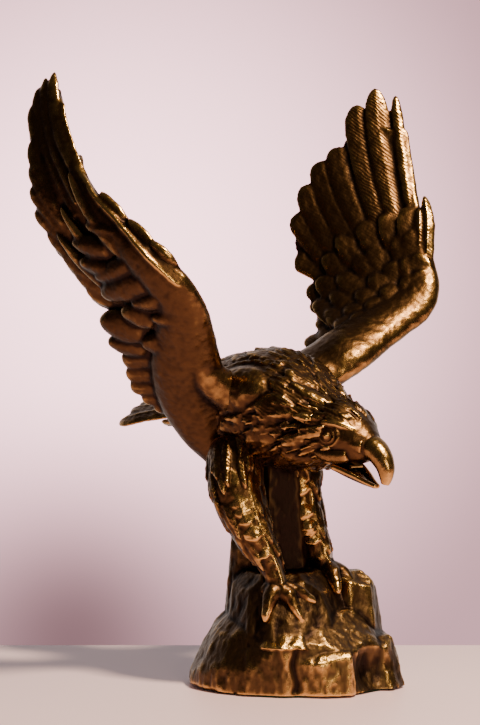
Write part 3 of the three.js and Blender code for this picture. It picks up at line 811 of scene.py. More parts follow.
def right_wing() -> Wing:
    """The bird's right wing, whose underside the viewer sees.

    Returns:
        The wing, not yet built.
    """
    sheet = Sheet([
        (-21, -11, 159), (-36, -34, 181), (-49, -62, 210), (-71, -68, 232), (-99, -54, 262), (-117, -34, 297),
        (-127, -15, 330), (-137, -18, 303), (-141, -20, 270), (-126, -20, 238), (-107, -18, 208),
        (-94, -11, 180),
        (-79, -1, 156),
    ])
    arm = [
        (-34, 126, 8, 2), (-42, 140, 11, 2), (-48.5, 156, 13, 2), (-51.5, 172, 13.5, 2), (-53, 188, 11.5, 2),
        (-55, 202, 9.8, 2), (-62, 215, 9, 2), (-75, 227, 8, 2), (-92, 244, 6, 2), (-105, 259, 4.8, 1.5),
        (-115, 277, 3.6, 1), (-122, 298, 2.8, 0.5), (-126.5, 319, 1.8, 0),
    ]
    web = [
        (-50, 165, -78, 157), (-52, 180, -86, 167), (-54, 196, -92, 181), (-58, 210, -98, 196),
        (-70, 223, -104, 212),
        (-85, 238, -118, 227), (-98, 251, -130, 246), (-107, 263, -136, 264), (-114, 277, -137, 284),
        (-120, 296, -135, 304), (-125, 314, -132, 318),
    ]
    blade = Leaf(tip=0.72, root=0.8, ridge=0.0, under=1.0, point=1.8, barbs=0.3)
    hand = [
        (-110, 267, -124, 299, -127, 329, 8), (-112, 258, -128, 296, -132, 326, 8),
        (-113, 252, -132, 294, -135, 321, 8), (-115, 248, -135, 291, -137, 311, 8),
        (-116, 245, -134, 275, -137, 292, 9), (-113, 237, -131, 264, -139, 279, 10),
        (-113, 235, -130, 255, -139, 268, 10), (-112, 231, -125, 244, -138, 255, 10),
        (-107, 224, -120, 234, -131, 245, 10), (-102, 218, -114, 225, -123, 236, 10),
        (-98, 212, -108, 217, -117, 227, 10), (-93, 205, -103, 210, -110, 217, 10),
    ]
    middle = [
        (-66, 219, -94, 240, -116, 273, 10), (-75, 211, -101, 231, -121, 257, 9),
        (-83, 207, -105, 223, -124, 244, 8),
    ]
    lobes = [
        (-58, 200, -65, 201, -72, 202, 11), (-69, 199, -78, 202, -88, 204, 15),
        (-58, 186, -68, 187.5, -79, 188, 16), (-64, 211, -73, 209, -82, 208, 12),
        (-72, 219, -86, 216, -99, 212, 17), (-75, 193, -88, 196, -101, 198, 20),
        (-80, 228, -91, 224, -102, 221, 13), (-86, 222, -98, 226, -111, 229, 13),
        (-92, 233, -103, 236, -115, 239, 13), (-86, 241, -97, 244, -107, 247, 10),
        (-76, 184, -87, 185.5, -98, 187, 14),
    ]
    stack = [
        (-55, 179, -75, 178, -91.5, 176, 11.5), (-54, 172, -73, 170, -90, 169, 10.5),
        (-53, 165, -71, 163, -88, 162.5, 10.5), (-50, 159, -67, 157, -82, 156.5, 10),
        (-47, 154, -62, 152, -76, 153, 10),
    ]
    edge = [
        (-88, 245, -94, 253, -101, 262.5, 9), (-73, 231, -79, 239, -86.5, 248, 9),
        (-62, 220, -67, 228, -75, 237, 9),
    ]
    plump = Leaf(tip=0.42, root=0.85, ridge=0.0, under=0.5, barbs=0.3, flat=2.0, polish_and_painted_light=-0.35)
    slim = Leaf(tip=0.45, root=0.8, ridge=0.0, under=0.6, point=1.7, barbs=0.3)
    small = Leaf(tip=0.4, root=0.8, ridge=0.0, point=1.6, barbs=0.2)
    square = Leaf(tip=0.8, root=0.9, ridge=0.15, under=0.8, barbs=0.6, point=2.6, polish_and_painted_light=-0.1)
    quills = [
        Quills(hand, blade, thick=1.9, lift=2.2, step=0.15, backing=True),
        Quills(middle, slim, thick=2.6, lift=4.0, step=0.6),
        Quills(lobes, plump, thick=4.4, lift=4.4, step=0.3, tilt=-0.15),
        Quills(stack, square, thick=2.2, lift=2.0, backing=True),
        Quills(edge, small, thick=2.6),
    ]
    shoulder = ((-54, 192, 3, 2), (-50, 176, 8, 4), (-40, 165, 10, 5), (-28, 158, 10, 5), (-12, 151, 7, 3))
    # a narrow edge along the arm, lightened as a painted highlight
    crest = (
        (-126, 315, 1, 0.5), (-121, 293, 1, 1.6), (-114, 277, 1.2, 2.4), (-108, 269, 1.4, 2.9),
        (-101, 259, 1.5, 3.8), (-91, 249, 1.5, 4.8), (-80, 237, 1.5, 5.8), (-70, 227, 1.5, 6.6),
        (-59, 217, 1.5, 6.4), (-56, 216, 0.4, 3),
    )
    # polish -0.3 darkens the underside arm as painted shade
    return Wing(
        "right_wing_casting", sheet, arm, web, quills, [], seed=8, polish_and_painted_light=-0.3, ridges=(shoulder,), crest=crest,
    )


# ---------------------------------------------------------------- trunk, neck and head
class Trunk:
    """The bird's trunk, neck and head as one family of ellipses along its length."""

    # forward, height, half width, half height, sideways
    STATIONS = np.array([
        (-47, 150, 10, 8, 0), (-37, 151, 19, 16, 0), (-22, 152, 26, 24, 0), (-4, 151, 30.5, 28, 0),
        (16, 149, 31, 29.5, 0), (32, 145.5, 28, 26.5, -0.5), (44, 141, 23.5, 21.5, -1.5),
        (54, 138, 19.5, 17.8, -2.5),
        (62, 136.6, 17.4, 17.0, -3), (69, 135.4, 14.6, 14.6, -3), (75, 133.4, 11.0, 11.2, -3),
        (79, 132.2, 7.4, 7.2, -3), (82, 131.5, 4.0, 4.0, -3),
    ], float)

    def measure(self, f: Array) -> list[Array]:
        """The ellipse at distances along the bird.

        Args:
            f: distances forward along the bird.

        Returns:
            Height, half width, half height and sideways place.
        """
        share = np.interp(f, self.STATIONS[:, 0], np.linspace(0, 1, len(self.STATIONS)))
        rows = catmull(self.STATIONS, share)
        return [rows[..., k] for k in (1, 2, 3, 4)]

    def at(self, f: Array, turn: Array, lift: Array | float = 0.0) -> tuple[Array, Array]:
        """Places and outward directions on the skin.

        Args:
            f: distance forward along the bird.
            turn: angle round it, 0 at its left, a quarter turn at its back.
            lift: height above the skin.

        Returns:
            Places, and unit vectors away from the skin.
        """
        f, turn = np.broadcast_arrays(np.asarray(f, float), np.asarray(turn, float))
        z, w, h, l = self.measure(f)
        local = np.stack([f, l + (w + lift) * np.cos(turn), z + (h + lift) * np.sin(turn)], -1)
        outward = STANCE.left * (np.cos(turn) / w)[..., None] + UP * (np.sin(turn) / h)[..., None]
        return STANCE.place(local), unit(outward)

    def body(self, shells: Shells, low: float, high: float, shrink: float) -> None:
        """Adds the plain body between two distances along the bird.

        Args:
            shells: what it is added to.
            low, high: from and to, along the bird.
            shrink: how far under the feathers' skin it lies.
        """
        f = np.linspace(low, high, 48)
        turn = np.linspace(0, 2 * np.pi, 64, endpoint=False)
        rings, _ = self.at(f[:, None], turn[None], -shrink)
        shells.tubes(rings[None])

    def feathers(self, shells: Shells, low: float, high: float, pitch: float, size: tuple, kind: Leaf,
                 seed: int, sweep: float = 0.0, ragged: float = 0.12, lift: float = 1.0,
                 keep: Callable[[Array, Array], Array] | None = None) -> None:
        """Covers part of the skin with overlapping feathers that point to the tail.

        Args:
            shells: what they are added to.
            low, high: from and to, along the bird.
            pitch: distance between rows.
            size: length, width and half thickness.
            kind: the outline.
            seed: picks the unevenness.
            sweep: how much they lean downwards.
            ragged: unevenness of place and size.
            lift: how far the tips stand off the skin.
            keep: test of (forward, angle) that leaves feathers out where it is false.
        """
        dice = np.random.default_rng(seed)
        length, width, thick = size
        rows = np.arange(low, high, pitch)
        _, w, h, _ = self.measure(rows)
        counts = np.maximum(8, (math.pi * (w + h) / (width * 0.82)).astype(int))
        f = np.repeat(rows, counts)
        order = np.concatenate([np.arange(c) + 0.5 * (k % 2) for k, c in enumerate(counts)])
        turn = order * 2 * np.pi / np.repeat(counts, counts)
        radius = np.repeat(0.5 * (w + h), counts)
        f = f + pitch * ragged * dice.standard_normal(len(f)) * 2
        turn = turn + ragged * width / radius * dice.standard_normal(len(f))
        if keep is not None:
            chosen = keep(f, turn)
            f, turn, radius = f[chosen], turn[chosen], radius[chosen]
        n = len(f)
        long = length * (1 + ragged * dice.standard_normal(n))
        lean = (sweep * -np.cos(turn) + 0.12 * dice.standard_normal(n)) * long / radius
        root, _ = self.at(f, turn, -0.6 * thick)
        mid, out = self.at(f - 0.5 * long, turn + 0.5 * lean, 0.35 * thick * lift)
        tip, _ = self.at(f - long, turn + lean, 0.9 * thick * lift)
        wide = width * (1 + ragged * dice.standard_normal(n))
        deep = np.clip(thick * (1 + 1.5 * ragged * dice.standard_normal(n)), 0.5 * thick, 1.6 * thick)
        kind.add(shells, root, mid, tip, out, wide, deep, 0.12 * dice.standard_normal(n))


@dataclass(frozen=True)
class Torso(Trunk):
    """The trunk casting with its back, breast and flank feathers."""

    ends: tuple = (-46, 58)            # from and to of the plain body, along the bird
    shoulder: tuple = (22, 15, 15)     # half sizes of the lump at each wing root
    breast: tuple = (26, 24, 16)       # half sizes of the keel of the breast
    plain: tuple = (15, 10.5, 1.4)     # length, width and half thickness of the back's feathers
    clumps: tuple = (18, 10.0, 1.6)    # the same of the clumps over the shoulders
    streaks: tuple = (10.5, 3.8, 1.0)  # the same of the narrow ones on the neck

    def build(self) -> bpy.types.Object:
        """Models the trunk and fuses it.

        Returns:
            The finished object.
        """
        shells = Shells()
        self.body(shells, *self.ends, 1.0)
        for side in (1, -1):
            shells.blob(STANCE.place([8, side * 22, 158]), self.shoulder, -STANCE.heading)
        shells.blob(STANCE.place([22, 0, 136]), self.breast, -STANCE.heading)
        back = Leaf(tip=0.5, root=0.7, ridge=0.15, under=0.6)
        clump = Leaf(tip=0.4, root=0.75, ridge=0.1, under=0.6, point=1.6)
        streak = Leaf(tip=0.35, root=0.75, ridge=0.3, under=0.6, point=1.5)
        self.feathers(shells, -40, 18, 8.5, self.plain, back, 11)
        self.feathers(shells, -6, 52, 9.0, self.clumps, clump, 12, sweep=0.3, ragged=0.28, lift=1.3)
        self.feathers(shells, 0, 58, 4.6, self.streaks, streak, 14, sweep=0.4, ragged=0.34, lift=2.2)
        return Casting("torso_casting", voxel=0.7, coarse=0.35, fine=0.07, seed=21).fuse(shells)


@dataclass(frozen=True)
class Head(Trunk):
    """The head casting: skull, brow, eyes and the upper half of the beak."""

    eye: float = 2.9                   # radius of the eyeball
    pupil: float = 0.9                 # radius of the pupil
    lid: tuple = (3.8, 0.75)           # reach and bead radius of the ring close to the eye
    socket: tuple = (6.0, 1.1)         # the same of the ring round the socket
    crown: tuple = (10, 3.8, 0.75)     # length, width and half thickness of the crown's feathers

    SIDEWAYS = -3.0

    def build(self) -> bpy.types.Object:
        """Models the head and fuses it.

        Returns:
            The finished object.
        """
        shells = Shells()
        self.body(shells, 50, 81, 0.3)
        for side in (1, -1):
            self.face(shells, side)
        self.beak(shells)
        streak = Leaf(tip=0.35, root=0.75, ridge=0.3, under=0.6, point=1.5)
        self.feathers(
            shells, 55, 76, 3.2, self.crown, streak, 31, sweep=0.2, ragged=0.22, keep=self.off_face
        )
        return Casting("head_casting", voxel=0.5, coarse=0.15, fine=0.04, grain=1.1, seed=33).fuse(shells)

    def off_face(self, f: Array, turn: Array) -> Array:
        """True away from the eyes, cheeks, cere and mouth."""
        up = np.sin(turn)
        return ~((f > 58.5) & (up < 0.52)) & ~((f > 74) & (up < 0.95))

    def face(self, shells: Shells, side: int) -> None:
        """One eye in its socket, the brow over it, the cheek under it and the fold at the mouth's corner.

        Args:
            shells: what they are added to.
            side: 1 for the bird's left, -1 for its right.
        """
        eye = STANCE.place([62.2, self.SIDEWAYS + side * 16.6, 136.2])
        out = unit(STANCE.left * side + STANCE.forward * 0.22)
        shells.blob(eye - out * 0.9, [self.eye] * 3)
        shells.blob(eye + out * 1.6, [self.pupil] * 3)
        self.ring(shells, eye - out * 0.1, out, *self.lid)
        self.ring(shells, eye - out * 1.0, out, *self.socket)
        brow = [(55, 14.6, 141.6, 1.4), (60, 15.4, 143.0, 2.0), (66, 13.4, 142.2, 2.4), (71, 9.4, 140.0, 2.6),
                (75.5, 5.0, 137.4, 2.2)]
        cheek = [(52, 14.0, 129, 3.0), (58, 13.6, 127, 3.8), (64, 11.6, 126, 4.2), (70, 8.6, 127.0, 4.0)]
        lore = [(65.5, 11.0, 133.5, 3.6), (71, 8.0, 132.3, 4.4), (77, 4.8, 130.8, 4.4)]
        gape = [(59, 12.4, 123.6, 1.4), (64, 10.2, 124.8, 1.6), (69, 7.8, 126.8, 1.5), (74, 6.0, 128.4, 0.8)]
        for rows, rubbed in ((brow, 0.7), (cheek, 0.0), (lore, 0.0), (gape, 0.0)):
            r = np.asarray(rows, float)
            r[:, 1] = self.SIDEWAYS + side * r[:, 1]
            shells.limb(np.concatenate([STANCE.place(r[:, :3]), r[:, 3:]], 1), steps=24, polish_and_painted_light=rubbed)

    def ring(self, shells: Shells, centre: Array, out: Array, reach: float, thick: float) -> None:
        """A raised ring round the eye, an upright ellipse drawn as overlapping arcs.

        Args:
            shells: what it is added to.
            centre: its middle.
            out: the direction the eye looks.
            reach: its radius.
            thick: radius of the bead along it.
        """
        across = unit(np.cross(out, UP))
        turn = np.linspace(0, 2 * np.pi, 29)
        loop = centre + reach * (across * np.cos(turn)[:, None] + UP * 0.86 * np.sin(turn)[:, None])
        for k in range(4):
            part = loop[k * 7:k * 7 + 8]
            shells.limb(np.concatenate([part, np.full((len(part), 1), thick)], 1), steps=16)

    def beak(self, shells: Shells) -> None:
        """The hooked upper beak with its cere, as ellipses square to a bending line.

        Args:
            shells: what it is added to.
        """
        rows = catmull(np.array([
            (69, 131.6, 8.4, 5.6), (75, 131.6, 7.8, 6.2), (80.5, 129.4, 6.8, 6.4), (85, 125.4, 5.8, 5.8),
            (87.6, 120.4, 4.6, 5.0), (88.2, 115.6, 3.4, 3.9), (87.4, 111.6, 1.9, 2.2),
        ]), np.linspace(0, 1, 40))
        centres = STANCE.place(np.stack([rows[:, 0], np.full(40, self.SIDEWAYS), rows[:, 1]], 1))
        along = unit(np.gradient(centres, axis=0))
        over = unit(np.cross(np.broadcast_to(STANCE.left, along.shape), along))
        shells.loft(centres, np.broadcast_to(STANCE.left, along.shape), over, rows[:, 2], rows[:, 3], 40, 0.35)


@dataclass(frozen=True)
class LowerBeak:
    """The lower jaw: a shallow trough that ends in a blunt point."""

    # rows of forward, sideways, height, radius
    rail: tuple = (
        (60, 10.4, 120.6, 2.2), (66, 8.2, 118.0, 1.9), (71.5, 6.0, 115.4, 1.6), (77, 3.2, 112.4, 1.4),
        (82.4, 0.8, 110.0, 1.2),
    )
    keel: tuple = (
        (56, 0, 120.5, 8.2), (63, 0, 117.2, 6.8), (69.5, 0, 114.2, 5.0), (76, 0, 111.4, 3.0),
        (82, 0, 109.4, 1.3),
    )

    def build(self) -> bpy.types.Object:
        """Models the jaw and fuses it.

        Returns:
            The finished object.
        """
        shells = Shells()
        for line, side, squash in ((self.rail, 1, 1.0), (self.rail, -1, 1.0), (self.keel, 0, 0.4)):
            rows = np.array(line, float)
            rows[:, 1] = Head.SIDEWAYS + side * rows[:, 1]
            rows = np.concatenate([STANCE.place(rows[:, :3]), rows[:, 3:]], 1)
            shells.limb(rows, squash=squash, steps=30)
        skin = Casting("lower_beak_casting", voxel=0.45, softening=3, coarse=0.06, fine=0.02, seed=41)
        return skin.fuse(shells)


# ---------------------------------------------------------------- tail
@dataclass(frozen=True)
class Tail:
    """A short fan of broad feathers under a pad of small ones."""

    blades: int = 7                    # broad feathers
    blade: tuple = (13.0, 2.0)         # full width and half thickness of each
    covers: int = 6                    # small feathers above, and as many below
    cover: tuple = (10.0, 2.2)         # full width and half thickness of each

    def build(self) -> bpy.types.Object:
        """Models the tail and fuses it.

        Returns:
            The finished object.
        """
        shells = Shells()
        middle = STANCE.place([(-34, 0, 148), (-48, 0, 147.5), (-60, 0, 146)])
        shells.limb(np.concatenate([middle, [[10], [10], [7]]], 1), squash=0.6)
        n = self.blades
        i = np.arange(n) - n // 2
        root = STANCE.place(np.stack([np.full(n, -38), i * 1.5, np.full(n, 148.0)], 1))
        tip = STANCE.place(np.stack([-93.5 - 0.5 * i**2, i * 6.6, 151.5 - 1.35 * i**2], 1))
        mid = 0.5 * (root + tip) + UP * 2.0 + STANCE.left * (i * 1.4)[:, None]
        lean = unit(UP + STANCE.left * (i * 0.33)[:, None])
        kind = Leaf(tip=0.75, root=0.6, ridge=0.35, under=0.8)
        width, thick = (np.full(n, size) for size in self.blade)
        kind.add(shells, root, mid, tip, lean, width, thick, 0.1 * np.sign(i))
        n = self.covers
        j = np.linspace(-1, 1, n)
        root = STANCE.place(np.stack([np.full(n, -36), j * 9, np.full(n, 150.0)], 1))
        tip = STANCE.place(np.stack([np.full(n, -70), j * 13, np.full(n, 148.0)], 1))
        kind = Leaf(tip=0.6, root=0.7)
        half, (width, thick) = 0.5 * (root + tip), (np.full(n, size) for size in self.cover)
        kind.add(shells, root, half + UP * 3, tip, UP, width, thick)
        kind.add(shells, root - UP * 8, half - UP * 8, tip - UP * 7, -UP, width, thick)
        return Casting("tail_casting", voxel=0.7, seed=51).fuse(shells)


# ---------------------------------------------------------------- legs
@dataclass
class Leg:
    """A feathered thigh, a scaled shank and a foot whose toes end in talons."""

    name: str
    stations: list           # rows of forward, sideways, height, radius
    toes: list               # tips: forward, sideways, height
    seed: int

    SHIN = 0.785             # angle from straight ahead round to the bare shin

    def build(self) -> bpy.types.Object:
        """Models the leg and fuses it.

        Returns:
            The finished object.
        """
        shells = Shells()
        rows = np.asarray(self.stations, float)
        path = np.concatenate([STANCE.place(rows[:, :3]), rows[:, 3:]], 1)
        shells.limb(path, squash=1.05, facing=STANCE.forward, steps=48)
        self.tufts(shells, path)
        self.shin(shells, path)
        for toe in self.toes:
            self.toe(shells, path[-1, :3] + UP * 5, STANCE.place(toe))
        return Casting(self.name, voxel=0.6, coarse=0.35, fine=0.06, seed=self.seed).fuse(shells)

    def around(self, path: Array, share: Array, angle: Array, lift: float) -> tuple[Array, Array]:
        """Places round the leg.

        Args:
            path: rows of place and radius along its middle.
            share: how far down each place is, from 0 to 1.
            angle: how far round, in radians.
            lift: height above the skin.

        Returns:
            The places, and the outward direction at each.
        """
        row = catmull(path, np.clip(share, 0, 1))
        ahead = unit(STANCE.forward + UP * 0.3)
        out = STANCE.left * np.cos(angle)[:, None] + ahead * np.sin(angle)[:, None]
        return row[:, :3] + out * (row[:, 3:] + lift), out

    def tufts(self, shells: Shells, path: Array) -> None:
        """Long ragged feathers that hang round the thigh, except on the shin.

        Args:
            shells: what they are added to.
            path: rows of place and radius along the leg's middle.
        """
        dice = np.random.default_rng(self.seed)
        rows, around = 9, 12
        share = np.repeat(np.linspace(-0.02, 0.56, rows), around)
        angle = np.tile(np.arange(around), rows) * 2 * np.pi / around
        angle = angle + np.repeat(np.arange(rows) % 2, around) * 0.3
        share = share + 0.02 * dice.standard_normal(len(share))
        angle = angle + 0.14 * dice.standard_normal(len(share))
        front = np.cos(angle - np.pi / 2 - self.SHIN) > 0.72
        chosen = ~(front & (share > 0.12))
        share, angle = share[chosen], angle[chosen]
        n = len(share)
        reach = 0.2 + 0.04 * dice.standard_normal(n)
        root, _ = self.around(path, share, angle, -1.0)
        mid, out = self.around(path, share + 0.5 * reach, angle, 0.3)
        tip, _ = self.around(path, share + reach, angle, 0.8)
        kind = Leaf(tip=0.35, root=0.75, ridge=0.3, under=0.6, point=1.5)
        kind.add(shells, root, mid, tip, out, np.full(n, 6.4), np.full(n, 1.3), 0.1 * dice.standard_normal(n))

    def shin(self, shells: Shells, path: Array) -> None:
        """Soft cross folds down the bare front, and the ridge that ends in the foot.

        Args:
            shells: what they are added to.
            path: rows of place and radius along the leg's middle.
        """
        dice = np.random.default_rng(self.seed + 5)
        share = np.linspace(0.24, 0.62, 7) + 0.02 * dice.standard_normal(7)
        middle = np.full(7, np.pi / 2 + self.SHIN)
        left, _ = self.around(path, share - 0.03, middle - 0.62, -0.9)
        mid, out = self.around(path, share + 0.02, middle, 0.0)
        right, _ = self.around(path, share + 0.01, middle + 0.62, -0.9)
        # polish 0.9 on the folds and 0.7 on the ridge lighten the bare front as a painted highlight
        fold = Leaf(tip=0.6, root=0.5, ridge=0.0, under=0.8, barbs=0.0, polish_and_painted_light=0.9)
        fold.add(shells, left, mid, right, out, 6.5 + dice.random(7) * 5, 0.4 + 0.5 * dice.random(7))
        crest, _ = self.around(path, np.linspace(0.2, 0.95, 7), middle - 0.55, -0.6)
        shells.limb(np.concatenate([crest, np.full((7, 1), 1.7)], 1), steps=30, polish_and_painted_light=0.7)

    def toe(self, shells: Shells, ankle: Array, tip: Array) -> None:
        """A knuckled toe that arches from the ankle and ends in a hooked talon.

        Args:
            shells: what it is added to.
            ankle: where the toe starts.
            tip: where its talon ends.
        """
        share = np.array([0, 0.2, 0.38, 0.55, 0.7, 0.8, 0.9, 1.0])
        radius = np.array([5.4, 4.8, 3.9, 3.4, 2.6, 2.3, 1.7, 0.6])
        ahead, down = share**0.6, share**1.15
        line = ankle + (tip - ankle) * np.stack([ahead, ahead, down], 1)
        rows = np.concatenate([line, radius[:, None]], 1)
        # polish -0.3 darkens the toes where they meet the rock as painted shade; 0.9 lightens the talons as a
        # painted highlight
        shells.limb(rows, steps=40, polish_and_painted_light=-0.3)
        shells.limb(catmull(rows, np.linspace(0.52, 1.0, 12)) + [0, 0, 0, 0.15], steps=20, polish_and_painted_light=0.9)


# ---------------------------------------------------------------- rock
@dataclass(frozen=True)
class Crag:
    """One convex piece of rock: a place inside, steep faces round it and slanting faces over it.

    Each wall row is its direction in degrees, its distance and how much it leans up. Each roof row is its
    direction, distance and steepness. `top` and `foot` are the flat faces above and below.
    """

    centre: tuple
    walls: list
    roofs: list
    top: float
    foot: float
    # polish lightens the front block and patch as painted highlight, and darkens the middle, stump and pillar
    # as painted shade
    polish_and_painted_light: float = 0.0

    def add(self, shells: Shells) -> None:
        """Adds the crag to the shells.

        Args:
            shells: what it is added to.
        """
        rows = np.asarray(self.walls + self.roofs, float)
        a = np.radians(rows[:, 0])
        normals = np.stack([np.cos(a), np.sin(a), rows[:, 2]], 1)
        normals = np.concatenate([normals, [[0, 0, 1], [0, 0, -1]]])
        reach = np.concatenate([rows[:, 1], [self.top, self.foot]])
        shells.rock(np.asarray(self.centre, float), normals, reach, self.polish_and_painted_light)


@dataclass(frozen=True)
class RockBase:
    """The broken rock: a many-faced drum, a sloping middle, a stump up to the bird and lumps round it."""

    hollow: tuple = (45, -35, 13, 16, 8.5)   # worn into the drum's right side: x, y, z, reach, depth
    crevice: int = 16                        # small dents, one over the other, that split the front
    underside: float = 1.2                   # height of the flat underside, on the felt

    def build(self) -> bpy.types.Object:
        """Models the rock and fuses it.

        Returns:
            The finished object.
        """
        shells = Shells()
        for crag in (
            self.drum(), self.middle(), self.stump(), self.pillar(), self.knob(), self.block(), self.step(),
            self.patch(),
        ):
            crag.add(shells)
        crack = ((-1.0 + 0.9 * math.sin(0.5 * k), -48.5, 3 + 1.5 * k, 2.4, 0.9) for k in range(self.crevice))
        dents = (self.hollow, *crack)
        skin = Casting(
            "rock_casting", coarse=0.5, fine=0.12, grain=2.0, seed=61, stretch=0.55, dents=dents,
            floor=self.underside,
        )
        return skin.fuse(shells)

    def drum(self) -> Crag:
        """The wide foot, whose front is broken into two upright faces with a slope over each.

        Returns:
            The crag, not yet added.
        """
        walls = [
            (-176, 55.5, 0.1), (-158, 55, 0.1), (-140, 53.5, 0.1), (-122, 51, 0.06),
            (-104, 49, 0.03), (-80, 47, 0.04),
            (-52, 50, 0.08), (-34, 52, 0.1), (-16, 55, 0.12), (8, 55.5, 0.12), (34, 52, 0.1), (62, 49, 0.1),
            (92, 48, 0.1), (122, 50, 0.1), (152, 54, 0.1),
        ]
        roofs = [
            (-172, 44.5, 1.05), (-142, 44.5, 1.0), (-112, 43.8, 0.95), (-82, 42.6, 1.05), (-52, 42.0, 1.0),
            (-14, 46, 0.8), (25, 45, 0.95), (65, 42, 0.95), (105, 42, 0.95), (145, 44, 0.95),
            (-168, 48.3, 0.5), (-145, 48.6, 0.5), (-122, 47.4, 0.45), (170, 48.3, 0.5),
        ]
        return Crag((0, 0, 12), walls, roofs, 30, 12)

    def middle(self) -> Crag:
        """The steep face that the right foot holds, up from the drum.

        Returns:
            The crag, not yet added.
        """
        walls = [
            (180, 29, 0.1), (-150, 30.5, 0.25), (-120, 32.5, 0.42), (-90, 33.5, 0.46),
            (-62, 32, 0.5), (-30, 31, 0.45),
            (0, 32, 0.4), (45, 30, 0.3), (90, 30, 0.3), (135, 30, 0.3),
        ]
        # polish -0.45 darkens this face under the feet as painted shade
        return Crag((-6, -2, 40), walls, [(-90, 31, 0.9), (-30, 28, 1.1), (-150, 30, 0.8)], 22, 15, -0.45)

    def stump(self) -> Crag:
        """The broken column behind the legs.

        Returns:
            The crag, not yet added.
        """
        walls = [
            (180, 22, 0.08), (-140, 21, 0.1), (-100, 15, 0.1), (-60, 17, 0.15), (-15, 25, 0.2), (30, 25, 0.2),
            (75, 18, 0.12), (120, 18, 0.1),
        ]
        # polish -0.3 darkens the column behind the legs as painted shade
        return Crag((-14, 7, 56), walls, [(-10, 26, 1.4), (150, 30, 1.2)], 26, 40, -0.3)

    def pillar(self) -> Crag:
        """The narrow core between the legs, up into the body.

        Returns:
            The crag, not yet added.
        """
        walls = [
            (180, 17, 0.05), (-125, 15, 0.05), (-80, 11, 0.05), (-40, 13, 0.08), (0, 19, 0.1), (50, 16, 0.08),
            (95, 12, 0.05), (140, 13, 0.05),
        ]
        # polish -1.0 darkens the core under the body as painted shade
        return Crag((-6, 6, 88), walls, [], 35, 40, -1.0)

    def knob(self) -> Crag:
        """The rounded lump under the left foot.

        Returns:
            The crag, not yet added.
        """
        walls = [
            (-170, 16, 0.2), (-120, 15, 0.2), (-70, 14, 0.25), (-20, 13, 0.15), (20, 13, 0.1), (70, 15, 0.2),
            (130, 15, 0.2),
        ]
        roofs = [(-60, 14, 1.3), (10, 13.5, 1.0), (-160, 17, 1.6), (80, 15, 1.3)]
        return Crag((32, 4, 46), walls, roofs, 15, 26)

    def block(self) -> Crag:
        """The flat-faced block in front, under a ledge, lightened as a painted highlight.

        Returns:
            The crag, not yet added.
        """
        walls = [
            (-103, 12.2, 0.04), (-76, 12.4, 0.1), (176, 13.2, 0.12), (4, 15.5, 0.14), (90, 20, 0.0),
            (-35, 17.0, 0.08),
        ]
        # polish 0.35 lightens the block as a painted highlight
        return Crag((14, -38, 10), walls, [(-100, 14.0, 0.8), (-84, 14.6, 1.1)], 13, 9, 0.35)

    def patch(self) -> Crag:
        """The scratched slope beside the ledge, lightened as a painted highlight.

        Returns:
            The crag, not yet added.
        """
        walls = [
            (-88, 5.5, 1.0), (-110, 6.0, 0.9), (168, 11, 0.5), (14, 9, 0.4), (90, 10, 0.0), (-140, 9.5, 0.7),
            (-40, 8.5, 0.8),
        ]
        # polish 0.6 lightens the patch as a painted highlight
        return Crag((-5, -36, 31), walls, [], 9, 6, 0.6)

    def step(self) -> Crag:
        """The right-hand rim beside the hollow.

        Returns:
            The crag, not yet added.
        """
        walls = [(-150, 9, 0.1), (-90, 12, 0.2), (-30, 9, 0.25), (20, 9, 0.2), (80, 16, 0.2), (150, 12, 0.1)]
        return Crag((46, -12, 12), walls, [(-60, 14, 1.3), (20, 15, 1.2)], 16, 12)


# ---------------------------------------------------------------- shader maths
class Socket:
    """A value in a node tree, on which ordinary sums build Math nodes."""

    def __init__(self, graph: "Graph", out: bpy.types.NodeSocket) -> None:
        """Keeps the tree and the output that holds the value."""
        self.graph, self.out = graph, out

    def __add__(self, other: object) -> "Socket":
        """The sum."""
        return self.graph.math("ADD", self, other)

    def __sub__(self, other: object) -> "Socket":
        """The difference."""
        return self.graph.math("SUBTRACT", self, other)

    def __mul__(self, other: object) -> "Socket":
        """The product."""
        return self.graph.math("MULTIPLY", self, other)

    def __rsub__(self, other: object) -> "Socket":
        """The difference, with this value taken away."""
        return self.graph.math("SUBTRACT", other, self)

    __radd__, __rmul__ = __add__, __mul__


